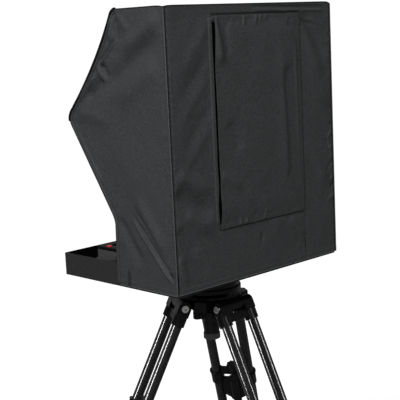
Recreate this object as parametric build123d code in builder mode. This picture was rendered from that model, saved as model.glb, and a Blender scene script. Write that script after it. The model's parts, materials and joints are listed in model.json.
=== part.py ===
from build123d import *
from math import cos, hypot, radians, sin, sqrt
import os

# A teleprompter on its tripod, in millimetres, +Z up. The reader sits towards -Y and the camera
# stands inside the hood, towards +Y. The origin is on the floor, at the centre of the space taken up.

# Clearances
RUNNING = 0.06           # radial gap of a shaft that turns or slides in its hole
SKIN_GAP = 0.6           # between two skins that lie on each other
FIT_GAP = 0.1            # between neighbours that touch

# Finger hollows round a hand knob, as shares of its radius
HOLLOW_OUT = 1.12
HOLLOW_SIZE = 0.28

# Tray that everything is built on
TRAY_WIDTH = 536.0
TRAY_DEPTH = 391.0       # from the hood's back to the tray's front
TRAY_HEIGHT = 53.0
SHEET = 2.0
TRAY_CORNER_R = 1.0
RIVET_R = 3.2
RIVET_PROUD = 1.0
RIVET_PLACES = [(319.0, 23.0), (359.0, 25.0)]
MOUNT_PLATE_SIZE = 160.0
MOUNT_PLATE_THICK = 6.0
MOUNT_PLATE_CORNER_R = 8.0
MOUNT_BOLT_R = 4.0
MOUNT_BOLT_HEAD_R = 6.5
MOUNT_BOLT_HEAD = 5.0
MOUNT_BOLT_KEY_R = 3.5   # hexagon socket, to its corners
MOUNT_BOLT_DEPTH = 20.0

# Hood, in the side view: distances forward of its back and heights above the tray's underside
HOOD_WIDTH = 541.0
CLOTH = 2.0
HOOD_TOP = 613.0
HOOD_HEM = 5.0
TOP_DEPTH = 161.0
NOSE = (339.0, 377.0)
NOSE_ROUND = 25.0
WAIST = (191.0, 152.0)
WAIST_ROUND = 40.0
SKIRT_DEPTH = 196.0
BROW_SAG = 12.0          # how far the front of the hood hangs in between nose and top
BROW_BACK = 8.0          # from the nose's point back and up to the front panel's lower edge
BROW_UP = 6.0

# Window in the hood's back, and the flap over it
WINDOW_LEFT = -141.0
WINDOW_RIGHT = 125.0
WINDOW_LOW = 140.0
WINDOW_HIGH = 575.0
FLAP_LAP = 14.0

# Wire frame inside the hood
ROD_R = 4.0
BALL_R = 7.0
FRAME_X = 261.0
FRAME_WAIST = (186.0, 150.0)
FRAME_NOSE = (328.0, 368.0)
FRAME_TOP = (148.0, 600.0)
FRAME_BACK = 10.0

# Monitor, lying face up in the tray
MONITOR_WIDTH = 346.0
MONITOR_DEPTH = 236.0
MONITOR_REAR = 152.0
MONITOR_LOW = 17.0
SCREEN_WIDTH = 304.0
SCREEN_DEPTH = 190.0
CASE_WALL = 3.0
BEZEL_LOW = 45.0
BUTTON_X = 162.0
POWER_AT = 352.0
POWER_R = 7.0
MENU_AT = (331.0, 315.0)
MENU_R = 4.0
BUTTON_GAP = 0.3
BUTTON_TRAVEL = 1.5
BUTTON_PROUD = 2.0
BUTTON_EDGE_R = 1.0
MONITOR_CORNER_R = 4.0
BEZEL_EDGE_R = 2.0
PANEL_THICK = 6.0
PANEL_LIP = 6.0          # how far the panel reaches under the bezel
BOARD_LOW = 24.0
BOARD_SIZE = (180.0, 110.0)
BOARD_THICK = 2.0
CHIP_SIZE = (26.0, 20.0)
CHIP_SPACING = (70.0, 50.0)
CHIP_HEIGHT = 4.0
STANDOFF_R = 7.0
STANDOFF_INSET = 25.0
SOCKET_PLACES = (110.0, 138.0)
SOCKET_HEIGHT = 31.0
SOCKET_BODY_R = 5.0
SOCKET_HOLE_R = 2.5
SOCKET_OUT = 7.0
SOCKET_IN = 6.0

# Power adapter in the right-hand channel
ADAPTER_X = 218.0
ADAPTER_AT = 288.0
ADAPTER_WIDTH = 66.0
ADAPTER_LENGTH = 84.0
ADAPTER_HEIGHT = 42.0
ADAPTER_CORNER_R = 28.0
ADAPTER_DOME_R = 16.0
SCREW_PLACES = [(-8.0, -16.0), (-2.0, -26.0), (14.0, 10.0)]
SCREW_HEAD_R = 2.6
SCREW_HEAD = 3.0
SCREW_KEY_R = 1.4
SCREW_KEY_DEPTH = 1.0
SCREW_SUNK = 4.0         # from the adapter's top down to the seat of a screw's head

# Beam-splitter glass at 45 degrees, in its frame
GLASS_SLOPE = 45.0
GLASS_AT = (232.0, 279.0)
GLASS_FRAME_WIDTH = 396.0
GLASS_FRAME_LENGTH = 244.0
GLASS_FRAME_THICK = 12.0
GLASS_RIM = 14.0
GLASS_THICK = 4.0
GLASS_GRIP = 6.0         # how deep the pane sits in the frame's groove
PIN_R = 4.0
ARM_FOOT = 120.0
ARM_X = 202.0
ARM_THICK = 5.0
ARM_WIDTH = 24.0
GLASS_KNOB_R = 18.0
GLASS_KNOB_LOBES = 6
GLASS_KNOB_LENGTH = 16.0
GLASS_KNOB_GAP = 0.4
GLASS_KNOB_BORE = 14.0
KNOB_EDGE_R = 1.5
ARM_FOOT_WIDTH = 34.0

# Baffle that closes the dark chamber behind the monitor
BAFFLE_AT = 136.0
BAFFLE_LOW = 16.0
BAFFLE_HIGH = 170.0
BAFFLE_WIDTH = 340.0
BAFFLE_LIP = 10.0

# Camera stand
RISER_HEIGHT = 184.0
RISER_SHEET = 4.0
RISER_WIDTH = 120.0
RISER_REAR = 20.0
RISER_DEPTH = 72.0
RISER_SLOT = 36.0
RISER_SLOT_END = 4.0     # from the slot's end to the riser's edge
RISER_FOOT = 24.0
RISER_FOOT_OUT = 10.0    # from the wall to the middle of a foot
PLATE_WIDTH = 70.0
PLATE_REAR = 18.0
PLATE_LENGTH = 90.0
PLATE_THICK = 8.0
PLATE_CORNER_R = 4.0
PLATE_EDGE_R = 1.0
CAMERA_THREAD_R = 3.175  # 1/4 inch camera thread
CAMERA_THREAD_OUT = 5.5
CAMERA_SHANK_R = 3.6
CAMERA_KNOB_R = 15.0
CAMERA_KNOB_HEIGHT = 14.0
CAMERA_KNOB_LOBES = 8
CAMERA_KNOB_GAP = 0.3

# Head and tripod, as drops below the tray's underside
AXIS_FORWARD = 177.0     # tripod's axis, forward of the hood's back
DRUM_R = 72.0
DRUM_WALL = 8.0
DRUM_ROOF = 24.0         # solid top that the mounting bolts screw into
DRUM_EDGE = 2.0
SPIGOT_R = 30.0
SPIGOT_HEIGHT = 30.0
SPIGOT_ROOM = 2.0
BOLT_CIRCLE_R = 50.0
BALL_FLANGE_R = 76.0
BALL_FLANGE_DROP = 50.0
BALL_FLANGE_THICK = 9.0
NECK_R = 44.0
BOWL_DROP = 66.0         # rim of the bowl and centre of the ball
BOWL_R = 50.0
BOWL_WALL = 6.0
BOWL_HOLE_R = 22.0
BALL_CLEAR = 0.2
BALL_CUT = 42.0          # from the ball's centre down to its flat
RIM_R = 78.0
RIM_THICK = 6.0
RIM_GROOVE = 1.2
CROWN_DROP = 96.0
CROWN_FLAT = 58.0        # from the axis to a side that faces a leg
CROWN_CORNER = 92.0      # from the axis to a side between two legs
CORNER_CUT = 100.0
LUG_GAP = 0.5            # between a hinge lug's edge and the yoke's
LUG_SUNK = 4.0           # how far a lug runs into the crown
STUD_R = 6.0
STUD_IN = 24.0           # length of stud inside the ball
STUD_END_DROP = 157.0
WASHER_INNER = 13.0
WASHER_OUTER = 27.0
WASHER_THICK = 4.0
WASHER_GAP = 0.3
CLAMP_TOP_DROP = 114.0
CLAMP_R = 20.5
CLAMP_LENGTH = 71.0
CLAMP_TAPER = 3.0
CLAMP_EDGE = 1.5
LOBE_REACH = 44.0
LOBE_TIP_R = 11.0
LOBE_BAR = 18.0
LOBE_THICK = 22.0
LOBE_EDGE_R = 4.0
LOBE_ANGLE = -45.0
BAND_LENGTH = 15.0

# Legs: distances down the leg are from the hinge
LEG_ANGLES = {"front_right": -30.0, "front_left": 210.0, "rear": 90.0}
LEG_TILT = 24.75
LEG_LENGTH = 790.0
HINGE_DROP = 90.0
HINGE_RADIUS = 77.0
HINGE_R = 16.0
HINGE_BOLT_R = 5.0
BOLT_CAP_R = 9.5
BOLT_CAP_THICK = 4.0
BOLT_CAP_TAPER = 12.0
BOLT_CAP_GAP = 0.3
BOLT_KEY_R = 3.2
BOLT_KEY_DEPTH = 2.5
TONGUE_WIDTH = 44.0
EAR_OUT = 54.0
EAR_GAP = 0.5
EAR_FOOT = 20.0          # from the hinge down to the foot of an ear
TUBE_SPACING = 88.0
TUBE_R = 12.5
TUBE_WALL = 1.5
TUBE_START = 24.0
TUBE_END = 515.0
SOCKET_R = 16.5
SOCKET_START = 11.0
SOCKET_END = 45.0
YOKE_BAR_START = 18.0
YOKE_BAR_END = 38.0
YOKE_BAR_THICK = 16.0
SLIDER_START = 267.0
SLIDER_SHOULDER = 342.0
SLIDER_END = 362.0
SLIDER_THICK = 12.0
SLIDER_RIM = 3.0
SLIDER_RIM_OUT = 2.0
SLIDER_LEDGE = 28.0
CUP_END = 305.0
WINDOW_WIDTH = 54.0
WINDOW_TALL = 18.0
WINDOW_AT = 287.0
RIB_PLACES = (-27.0, -15.0, 15.0, 27.0)
RIB_START = 308.0
RIB_WIDTH = 3.0
RIB_PROUD = 2.0
CENTRE_R = 11.0
CENTRE_START = 300.0
CENTRE_CAP = 6.0         # slider's wall over the centre tube's end
COLLAR_START = 490.0
COLLAR_END = 540.0
COLLAR_WEB = 18.0
FOOT_R = 18.0
FOOT_START = 738.0
FOOT_GRIP = 20.0         # how deep the centre tube sits in its boot
LEG_KNOB_R = 14.0
LEG_KNOB_HEIGHT = 22.0
LEG_KNOB_LOBES = 8
LEG_KNOB_GAP = 0.5
KNOB_STEM_R = 4.0
KNOB_STEM_IN = 7.0
KNOB_STEM_ROOM = 1.0

# Worked out from the above
TILT = radians(LEG_TILT)
HINGE_Z = LEG_LENGTH * cos(TILT)
BASE_Z = HINGE_Z + HINGE_DROP
FOOT_REACH = HINGE_RADIUS + LEG_LENGTH * sin(TILT)
SOLE_LONG = FOOT_R / cos(TILT)
REAR_END = FOOT_REACH + SOLE_LONG
FRONT_END = FOOT_REACH / 2 + hypot(SOLE_LONG / 2, FOOT_R * sqrt(3) / 2)
AXIS_Y = (FRONT_END - REAR_END) / 2
BACK_Y = AXIS_Y + AXIS_FORWARD
HOOD_X = HOOD_WIDTH / 2
TRAY_X = TRAY_WIDTH / 2
MONITOR_MID = MONITOR_REAR + MONITOR_DEPTH / 2
PLATE_MIDDLE = PLATE_REAR + PLATE_LENGTH / 2
CAMERA_SCREW_AT = RISER_REAR + RISER_DEPTH / 2
PANEL_X = HOOD_X - CLOTH - FIT_GAP
TUBE_X = TUBE_SPACING / 2
BOWL_CENTRE = (0, AXIS_Y, BASE_Z - BOWL_DROP)
HANGING = (Align.CENTER, Align.CENTER, Align.MAX)   # lower half of a ball, below its centre

# Side view of the hood and its insides: x is forward, y is up, and it looks towards -X
SIDE = Plane(origin=(0, BACK_Y, BASE_Z), x_dir=(0, -1, 0), z_dir=(-1, 0, 0))
# View of the hood's back: x is right, y is up, and it looks forward
BACK = Plane(origin=(0, BACK_Y, BASE_Z), x_dir=(1, 0, 0), z_dir=(0, -1, 0))


def keep(builder, node):
    """Label a finished piece and write it."""
    builder.part.label = node
    export_step(builder.part, f"parts/{node}.step")


def deck(height):
    """Level plane above the tray's underside, with -y forward of the hood's back."""
    return Plane(origin=(0, BACK_Y, BASE_Z + height))


def axle(drop):
    """Level plane on the tripod's axis, below the tray's underside."""
    return Plane(origin=(0, AXIS_Y, BASE_Z - drop))


def spot(across, forward, height):
    """Point in space from its place in the prompter."""
    return (across, BACK_Y - forward, BASE_Z + height)


def leg_plane(angle):
    """Plane across a leg at its hinge: x along the hinge, y in towards the axis, z up the leg."""
    out = Vector(cos(radians(angle)), sin(radians(angle)), 0)
    along = Vector(-sin(radians(angle)), cos(radians(angle)), 0)
    hinge = Vector(0, AXIS_Y, HINGE_Z) + out * HINGE_RADIUS
    up_leg = Vector(0, 0, cos(TILT)) - out * sin(TILT)
    return Plane(origin=hinge, x_dir=along, z_dir=up_leg)


def leg_side(leg, across):
    """Plane whose normal is the leg's hinge line: x in towards the axis, y up the leg."""
    return Plane(origin=leg.origin + leg.x_dir * across, x_dir=leg.y_dir, z_dir=leg.x_dir)


def lobed_disc(radius, lobes):
    """Outline of a hand knob: a disc with round finger hollows."""
    Circle(radius)
    with PolarLocations(radius * HOLLOW_OUT, lobes):
        Circle(radius * HOLLOW_SIZE, mode=Mode.SUBTRACT)


# ---------------------------------------------------------------- tray

def base_tray():
    with BuildPart() as tray:
        with BuildSketch(deck(0)):
            with Locations((0, -(TRAY_DEPTH + CLOTH) / 2)):
                Rectangle(TRAY_WIDTH, TRAY_DEPTH - CLOTH)
        extrude(amount=TRAY_HEIGHT)
        with BuildSketch(deck(SHEET)):
            with Locations((0, -(TRAY_DEPTH + CLOTH) / 2)):
                Rectangle(TRAY_WIDTH - 2 * SHEET, TRAY_DEPTH - CLOTH - 2 * SHEET)
        extrude(amount=TRAY_HEIGHT, mode=Mode.SUBTRACT)
        fillet(tray.edges().filter_by(Axis.Z).group_by(Axis.Z)[-1], radius=TRAY_CORNER_R)
        with BuildSketch(deck(0)):
            with Locations((0, -AXIS_FORWARD)):
                with PolarLocations(BOLT_CIRCLE_R, 4, start_angle=45):
                    Circle(MOUNT_BOLT_R)
        extrude(amount=SHEET, mode=Mode.SUBTRACT)
    keep(tray, "base_tray")


def tray_rivets():
    with BuildPart() as rivets:
        for side in (-1, 1):
            face = SIDE.offset(-side * TRAY_X)
            for forward, height in RIVET_PLACES:
                with BuildSketch(face):
                    with Locations((forward, height)):
                        Circle(RIVET_R)
                extrude(amount=-side * RIVET_PROUD)
    keep(rivets, "tray_rivets")


def mount_plate():
    with BuildPart() as plate:
        with BuildSketch(deck(SHEET)):
            with Locations((0, -AXIS_FORWARD)):
                RectangleRounded(MOUNT_PLATE_SIZE, MOUNT_PLATE_SIZE, MOUNT_PLATE_CORNER_R)
                with PolarLocations(BOLT_CIRCLE_R, 4, start_angle=45):
                    Circle(MOUNT_BOLT_R, mode=Mode.SUBTRACT)
        extrude(amount=MOUNT_PLATE_THICK)
    keep(plate, "mount_plate")


def mount_bolts():
    top = SHEET + MOUNT_PLATE_THICK
    with BuildPart() as bolts:
        with BuildSketch(deck(-MOUNT_BOLT_DEPTH)):
            with Locations((0, -AXIS_FORWARD)):
                with PolarLocations(BOLT_CIRCLE_R, 4, start_angle=45):
                    Circle(MOUNT_BOLT_R)
        extrude(amount=MOUNT_BOLT_DEPTH + top)
        with BuildSketch(deck(top)):
            with Locations((0, -AXIS_FORWARD)):
                with PolarLocations(BOLT_CIRCLE_R, 4, start_angle=45):
                    Circle(MOUNT_BOLT_HEAD_R)
                    RegularPolygon(MOUNT_BOLT_KEY_R, 6, mode=Mode.SUBTRACT)
        extrude(amount=MOUNT_BOLT_HEAD)
    keep(bolts, "mount_bolts")


# ---------------------------------------------------------------- monitor

def monitor_case():
    with BuildPart() as case:
        with BuildSketch(deck(MONITOR_LOW)):
            with Locations((0, -MONITOR_MID)):
                RectangleRounded(MONITOR_WIDTH, MONITOR_DEPTH, MONITOR_CORNER_R)
        extrude(amount=BEZEL_LOW - MONITOR_LOW)
        with BuildSketch(deck(MONITOR_LOW + CASE_WALL)):
            with Locations((0, -MONITOR_MID)):
                Rectangle(MONITOR_WIDTH - 2 * CASE_WALL, MONITOR_DEPTH - 2 * CASE_WALL)
        extrude(amount=BEZEL_LOW, mode=Mode.SUBTRACT)
        with BuildSketch(BACK.offset(MONITOR_REAR)):
            with Locations([(place, SOCKET_HEIGHT) for place in SOCKET_PLACES]):
                Circle(SOCKET_BODY_R)
        extrude(amount=CASE_WALL, mode=Mode.SUBTRACT)
    keep(case, "monitor_case")


def monitor_bezel():
    with BuildPart() as bezel:
        with BuildSketch(deck(BEZEL_LOW)):
            with Locations((0, -MONITOR_MID)):
                RectangleRounded(MONITOR_WIDTH, MONITOR_DEPTH, MONITOR_CORNER_R)
                Rectangle(SCREEN_WIDTH, SCREEN_DEPTH, mode=Mode.SUBTRACT)
            with Locations((BUTTON_X, -POWER_AT)):
                Circle(POWER_R + BUTTON_GAP, mode=Mode.SUBTRACT)
            with Locations([(BUTTON_X, -place) for place in MENU_AT]):
                Circle(MENU_R + BUTTON_GAP, mode=Mode.SUBTRACT)
        extrude(amount=TRAY_HEIGHT - BEZEL_LOW)
        rim = bezel.faces().sort_by(Axis.Z)[-1].outer_wire().edges()
        fillet(rim, radius=BEZEL_EDGE_R)
    keep(bezel, "monitor_bezel")


def lcd_panel():
    with BuildPart() as panel:
        with BuildSketch(deck(BEZEL_LOW - PANEL_THICK)):
            with Locations((0, -MONITOR_MID)):
                Rectangle(SCREEN_WIDTH + 2 * PANEL_LIP, SCREEN_DEPTH + 2 * PANEL_LIP)
        extrude(amount=PANEL_THICK)
    keep(panel, "lcd_panel")


def driver_board():
    with BuildPart() as board:
        with BuildSketch(deck(BOARD_LOW)):
            with Locations((0, -MONITOR_MID)):
                Rectangle(*BOARD_SIZE)
        extrude(amount=BOARD_THICK)
        with BuildSketch(deck(BOARD_LOW + BOARD_THICK)):
            with Locations((0, -MONITOR_MID)):
                with GridLocations(*CHIP_SPACING, 2, 2):
                    Rectangle(*CHIP_SIZE)
        extrude(amount=CHIP_HEIGHT)
    keep(board, "driver_board")


def monitor_standoffs():
    width = MONITOR_WIDTH - 2 * STANDOFF_INSET
    depth = MONITOR_DEPTH - 2 * STANDOFF_INSET
    with BuildPart() as standoffs:
        with BuildSketch(deck(SHEET)):
            with Locations((0, -MONITOR_MID)):
                with GridLocations(width, depth, 2, 2):
                    Circle(STANDOFF_R)
        extrude(amount=MONITOR_LOW - SHEET)
    keep(standoffs, "monitor_standoffs")


def signal_sockets():
    with BuildPart() as sockets:
        with BuildSketch(BACK.offset(MONITOR_REAR - SOCKET_OUT)):
            with Locations([(place, SOCKET_HEIGHT) for place in SOCKET_PLACES]):
                Circle(SOCKET_BODY_R)
        extrude(amount=SOCKET_OUT + SOCKET_IN)
        with BuildSketch(BACK.offset(MONITOR_REAR - SOCKET_OUT)):
            with Locations([(place, SOCKET_HEIGHT) for place in SOCKET_PLACES]):
                Circle(SOCKET_HOLE_R)
        extrude(amount=SOCKET_OUT, mode=Mode.SUBTRACT)
    keep(sockets, "signal_sockets")


def push_button(node, forward, radius):
    """Round button in the bezel, with room below it for its travel."""
    low = BEZEL_LOW + BUTTON_TRAVEL + BUTTON_GAP
    with BuildPart() as button:
        with BuildSketch(deck(low)):
            with Locations((BUTTON_X, -forward)):
                Circle(radius)
        extrude(amount=TRAY_HEIGHT + BUTTON_PROUD - low)
        fillet(button.faces().sort_by(Axis.Z)[-1].edges(), radius=BUTTON_EDGE_R)
    keep(button, node)


def adapter_screw_places():
    return [(ADAPTER_X + x, -ADAPTER_AT - y) for x, y in SCREW_PLACES]


def power_adapter():
    with BuildPart() as adapter:
        with BuildSketch(deck(SHEET)):
            with Locations((ADAPTER_X, -ADAPTER_AT)):
                RectangleRounded(ADAPTER_WIDTH, ADAPTER_LENGTH, ADAPTER_CORNER_R)
        extrude(amount=ADAPTER_HEIGHT)
        fillet(adapter.faces().sort_by(Axis.Z)[-1].edges(), radius=ADAPTER_DOME_R)
        with BuildSketch(deck(SHEET + ADAPTER_HEIGHT - SCREW_SUNK)):
            with Locations(adapter_screw_places()):
                Circle(SCREW_HEAD_R)
        extrude(amount=SCREW_SUNK, mode=Mode.SUBTRACT)
    keep(adapter, "power_adapter")


def adapter_screws():
    seat = SHEET + ADAPTER_HEIGHT - SCREW_SUNK
    with BuildPart() as screws:
        with BuildSketch(deck(seat)):
            with Locations(adapter_screw_places()):
                Circle(SCREW_HEAD_R)
        extrude(amount=SCREW_HEAD)
        with BuildSketch(deck(seat + SCREW_HEAD - SCREW_KEY_DEPTH)):
            with Locations(adapter_screw_places()):
                RegularPolygon(SCREW_KEY_R, 6)
        extrude(amount=SCREW_KEY_DEPTH, mode=Mode.SUBTRACT)
    keep(screws, "adapter_screws")


# ---------------------------------------------------------------- glass

# Plane of the glass: x across, y up the slope towards the reader, normal up and back
GLASS = Plane(
    origin=spot(0, *GLASS_AT),
    x_dir=(1, 0, 0),
    z_dir=(0, sin(radians(GLASS_SLOPE)), cos(radians(GLASS_SLOPE))),
)


def glass_frame():
    inner_width = GLASS_FRAME_WIDTH - 2 * GLASS_RIM
    inner_length = GLASS_FRAME_LENGTH - 2 * GLASS_RIM
    with BuildPart() as frame:
        with BuildSketch(GLASS.offset(-GLASS_FRAME_THICK / 2)):
            RectangleRounded(GLASS_FRAME_WIDTH, GLASS_FRAME_LENGTH, GLASS_GRIP)
            Rectangle(inner_width, inner_length, mode=Mode.SUBTRACT)
        extrude(amount=GLASS_FRAME_THICK)
        with BuildSketch(GLASS.offset(-GLASS_THICK / 2)):
            Rectangle(inner_width + 2 * GLASS_GRIP, inner_length + 2 * GLASS_GRIP)
        extrude(amount=GLASS_THICK, mode=Mode.SUBTRACT)
        for side in (-1, 1):
            with BuildSketch(SIDE.offset(-side * (GLASS_FRAME_WIDTH / 2 - 1))):
                with Locations(GLASS_AT):
                    Circle(PIN_R)
            extrude(amount=-side * (ARM_X + ARM_THICK + GLASS_KNOB_BORE - GLASS_FRAME_WIDTH / 2))
    keep(frame, "glass_frame")


def glass_pane():
    margin = 2 * (GLASS_RIM - GLASS_GRIP + FIT_GAP)
    with BuildPart() as pane:
        with BuildSketch(GLASS.offset(-GLASS_THICK / 2)):
            Rectangle(GLASS_FRAME_WIDTH - margin, GLASS_FRAME_LENGTH - margin)
        extrude(amount=GLASS_THICK)
    keep(pane, "glass_pane")


def glass_arm(node, side):
    """Flat bar that leans forward from the tray's floor to the glass's pivot."""
    foot = (ARM_FOOT, SHEET + ARM_THICK / 2)
    with BuildPart() as arm:
        with BuildSketch(SIDE.offset(-side * ARM_X)):
            with BuildLine():
                Line(foot, GLASS_AT)
                offset(amount=ARM_WIDTH / 2, side=Side.BOTH)
            make_face()
            with Locations(GLASS_AT):
                Circle(PIN_R + RUNNING, mode=Mode.SUBTRACT)
            with Locations((ARM_FOOT, SHEET - ARM_WIDTH)):
                Rectangle(4 * ARM_WIDTH, 2 * ARM_WIDTH, mode=Mode.SUBTRACT)
        extrude(amount=-side * ARM_THICK)
        with BuildSketch(deck(SHEET)):
            with Locations((side * (ARM_X + ARM_FOOT_WIDTH / 2), -ARM_FOOT)):
                Rectangle(ARM_FOOT_WIDTH, ARM_WIDTH)
        extrude(amount=ARM_THICK)
    keep(arm, node)


def glass_knob(node, side):
    start = ARM_X + ARM_THICK + GLASS_KNOB_GAP
    with BuildPart() as knob:
        with BuildSketch(SIDE.offset(-side * start)):
            with Locations(GLASS_AT):
                lobed_disc(GLASS_KNOB_R, GLASS_KNOB_LOBES)
        extrude(amount=-side * GLASS_KNOB_LENGTH)
        with BuildSketch(SIDE.offset(-side * start)):
            with Locations(GLASS_AT):
                Circle(PIN_R + RUNNING)
        extrude(amount=-side * GLASS_KNOB_BORE, mode=Mode.SUBTRACT)
        outer = knob.faces().sort_by(Axis.X)[-1 if side > 0 else 0]
        fillet(outer.edges(), radius=KNOB_EDGE_R)
    keep(knob, node)


def rear_baffle():
    """Upright sheet behind the monitor, with a lip along its top."""
    with BuildPart() as baffle:
        with BuildSketch(BACK.offset(BAFFLE_AT)):
            with Locations((0, (BAFFLE_LOW + BAFFLE_HIGH) / 2)):
                Rectangle(BAFFLE_WIDTH, BAFFLE_HIGH - BAFFLE_LOW)
        extrude(amount=SHEET)
        with BuildSketch(BACK.offset(BAFFLE_AT - BAFFLE_LIP)):
            with Locations((0, BAFFLE_HIGH - SHEET / 2)):
                Rectangle(BAFFLE_WIDTH, SHEET)
        extrude(amount=BAFFLE_LIP)
    keep(baffle, "rear_baffle")


# ---------------------------------------------------------------- camera stand

def camera_riser():
    """Bent sheet with a foot on each side and a slot along its top."""
    middle = (SHEET + RISER_HEIGHT) / 2
    with BuildPart() as riser:
        with BuildSketch(BACK.offset(RISER_REAR)):
            with Locations((0, middle)):
                Rectangle(RISER_WIDTH, RISER_HEIGHT - SHEET)
            with Locations((0, middle - RISER_SHEET)):
                Rectangle(RISER_WIDTH - 2 * RISER_SHEET, RISER_HEIGHT - SHEET, mode=Mode.SUBTRACT)
            for side in (-1, 1):
                with Locations((side * (RISER_WIDTH / 2 + RISER_FOOT_OUT), SHEET + RISER_SHEET / 2)):
                    Rectangle(RISER_FOOT, RISER_SHEET)
        extrude(amount=RISER_DEPTH)
        with BuildSketch(deck(RISER_HEIGHT)):
            with Locations((0, -RISER_REAR - RISER_DEPTH / 2)):
                SlotOverall(RISER_DEPTH - 2 * RISER_SLOT_END, RISER_SLOT, rotation=90)
        extrude(amount=-RISER_SHEET, mode=Mode.SUBTRACT)
    keep(riser, "camera_riser")


def camera_plate():
    with BuildPart() as plate:
        with BuildSketch(deck(RISER_HEIGHT + FIT_GAP)):
            with Locations((0, -PLATE_MIDDLE)):
                RectangleRounded(PLATE_WIDTH, PLATE_LENGTH, PLATE_CORNER_R)
            with Locations((0, -CAMERA_SCREW_AT)):
                Circle(CAMERA_SHANK_R + RUNNING, mode=Mode.SUBTRACT)
        extrude(amount=PLATE_THICK)
        fillet(plate.faces().sort_by(Axis.Z)[-1].outer_wire().edges(), radius=PLATE_EDGE_R)
    keep(plate, "camera_plate")


def camera_screw():
    """Knob under the riser, a plain shank through the plate and the camera's thread above it."""
    knob_top = RISER_HEIGHT - FIT_GAP - CAMERA_KNOB_GAP
    plate_top = RISER_HEIGHT + FIT_GAP + PLATE_THICK
    with BuildPart() as screw:
        with BuildSketch(deck(knob_top)):
            with Locations((0, -CAMERA_SCREW_AT)):
                lobed_disc(CAMERA_KNOB_R, CAMERA_KNOB_LOBES)
        extrude(amount=-CAMERA_KNOB_HEIGHT)
        with BuildSketch(deck(knob_top)):
            with Locations((0, -CAMERA_SCREW_AT)):
                Circle(CAMERA_SHANK_R)
        extrude(amount=plate_top - knob_top)
        with BuildSketch(deck(plate_top)):
            with Locations((0, -CAMERA_SCREW_AT)):
                Circle(CAMERA_THREAD_R)
        extrude(amount=CAMERA_THREAD_OUT)
    keep(screw, "camera_screw")


# ---------------------------------------------------------------- hood

def frame_rods():
    """Ends of every rod in the hood's frame, and the places of its balls."""
    floor = SHEET - BALL_R + FIT_GAP
    rods = []
    balls = []
    for x in (-FRAME_X, FRAME_X):
        waist = spot(x, *FRAME_WAIST)
        nose = spot(x, *FRAME_NOSE)
        top = spot(x, *FRAME_TOP)
        back_top = spot(x, FRAME_BACK, FRAME_TOP[1])
        back_waist = spot(x, FRAME_BACK, FRAME_WAIST[1])
        rods += [(spot(x, FRAME_WAIST[0], floor), waist), (waist, nose), (waist, back_waist)]
        rods += [(spot(x, FRAME_BACK, floor), back_waist), (back_waist, back_top), (back_top, top)]
        balls += [waist, nose, top, back_top, back_waist]
    for forward, height in (FRAME_NOSE, FRAME_TOP, (FRAME_BACK, FRAME_TOP[1])):
        rods.append((spot(-FRAME_X, forward, height), spot(FRAME_X, forward, height)))
    return rods, balls


def hood_frame():
    """Round bars between ball joints, each bar short of the ball's centre by its radius."""
    rods, balls = frame_rods()
    with BuildPart() as frame:
        for start, end in rods:
            way = Vector(*end) - Vector(*start)
            near = Vector(*start) + way.normalized() * BALL_R
            with BuildSketch(Plane(origin=near, z_dir=way)):
                Circle(ROD_R)
            extrude(amount=way.length - 2 * BALL_R)
        with Locations(*balls):
            Sphere(BALL_R - FIT_GAP)
    keep(frame, "hood_frame")


def hood_side(node, side):
    """Side panel of the hood, cut to the hood's outline."""
    with BuildPart() as panel:
        with BuildSketch(SIDE.offset(-side * HOOD_X)) as outline:
            with BuildLine():
                Polyline(
                    (TOP_DEPTH, HOOD_TOP),
                    (0, HOOD_TOP),
                    (0, HOOD_HEM),
                    (SKIRT_DEPTH, HOOD_HEM),
                    WAIST,
                    NOSE,
                )
                SagittaArc(NOSE, (TOP_DEPTH, HOOD_TOP), BROW_SAG)
            make_face()
            fillet(outline.vertices().sort_by_distance(NOSE)[0], radius=NOSE_ROUND)
            fillet(outline.vertices().sort_by_distance(WAIST)[0], radius=WAIST_ROUND)
        extrude(amount=side * CLOTH)
    keep(panel, node)


def hood_top():
    with BuildPart() as panel:
        with BuildSketch(SIDE.offset(-PANEL_X)):
            with Locations(((TOP_DEPTH + CLOTH) / 2, HOOD_TOP - CLOTH / 2)):
                Rectangle(TOP_DEPTH - CLOTH - 2 * FIT_GAP, CLOTH)
        extrude(amount=2 * PANEL_X)
    keep(panel, "hood_top")


def hood_front():
    """Sloping panel between the glass's top edge and the roof."""
    low = (NOSE[0] - BROW_BACK, NOSE[1] + BROW_UP)
    high = (TOP_DEPTH, HOOD_TOP - 2 * CLOTH)
    inner_low = (low[0] - CLOTH, low[1] - CLOTH)
    inner_high = (high[0] - CLOTH, high[1] - CLOTH)
    with BuildPart() as panel:
        with BuildSketch(SIDE.offset(-PANEL_X)):
            with BuildLine():
                SagittaArc(low, high, BROW_SAG)
                Line(high, inner_high)
                SagittaArc(inner_high, inner_low, -BROW_SAG)
                Line(inner_low, low)
            make_face()
        extrude(amount=2 * PANEL_X)
    keep(panel, "hood_front")


def hood_back():
    with BuildPart() as panel:
        with BuildSketch(BACK):
            with Locations((0, (HOOD_TOP + HOOD_HEM) / 2)):
                Rectangle(2 * PANEL_X, HOOD_TOP - HOOD_HEM)
            with Locations(((WINDOW_LEFT + WINDOW_RIGHT) / 2, (WINDOW_LOW + WINDOW_HIGH) / 2)):
                Rectangle(WINDOW_RIGHT - WINDOW_LEFT, WINDOW_HIGH - WINDOW_LOW, mode=Mode.SUBTRACT)
        extrude(amount=CLOTH)
    keep(panel, "hood_back")


def hood_flap():
    with BuildPart() as flap:
        with BuildSketch(BACK.offset(-SKIN_GAP)):
            with Locations(((WINDOW_LEFT + WINDOW_RIGHT) / 2, (WINDOW_LOW + WINDOW_HIGH) / 2)):
                Rectangle(
                    WINDOW_RIGHT - WINDOW_LEFT + 2 * FLAP_LAP,
                    WINDOW_HIGH - WINDOW_LOW + 2 * FLAP_LAP,
                )
        extrude(amount=-CLOTH)
    keep(flap, "hood_flap")


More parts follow.
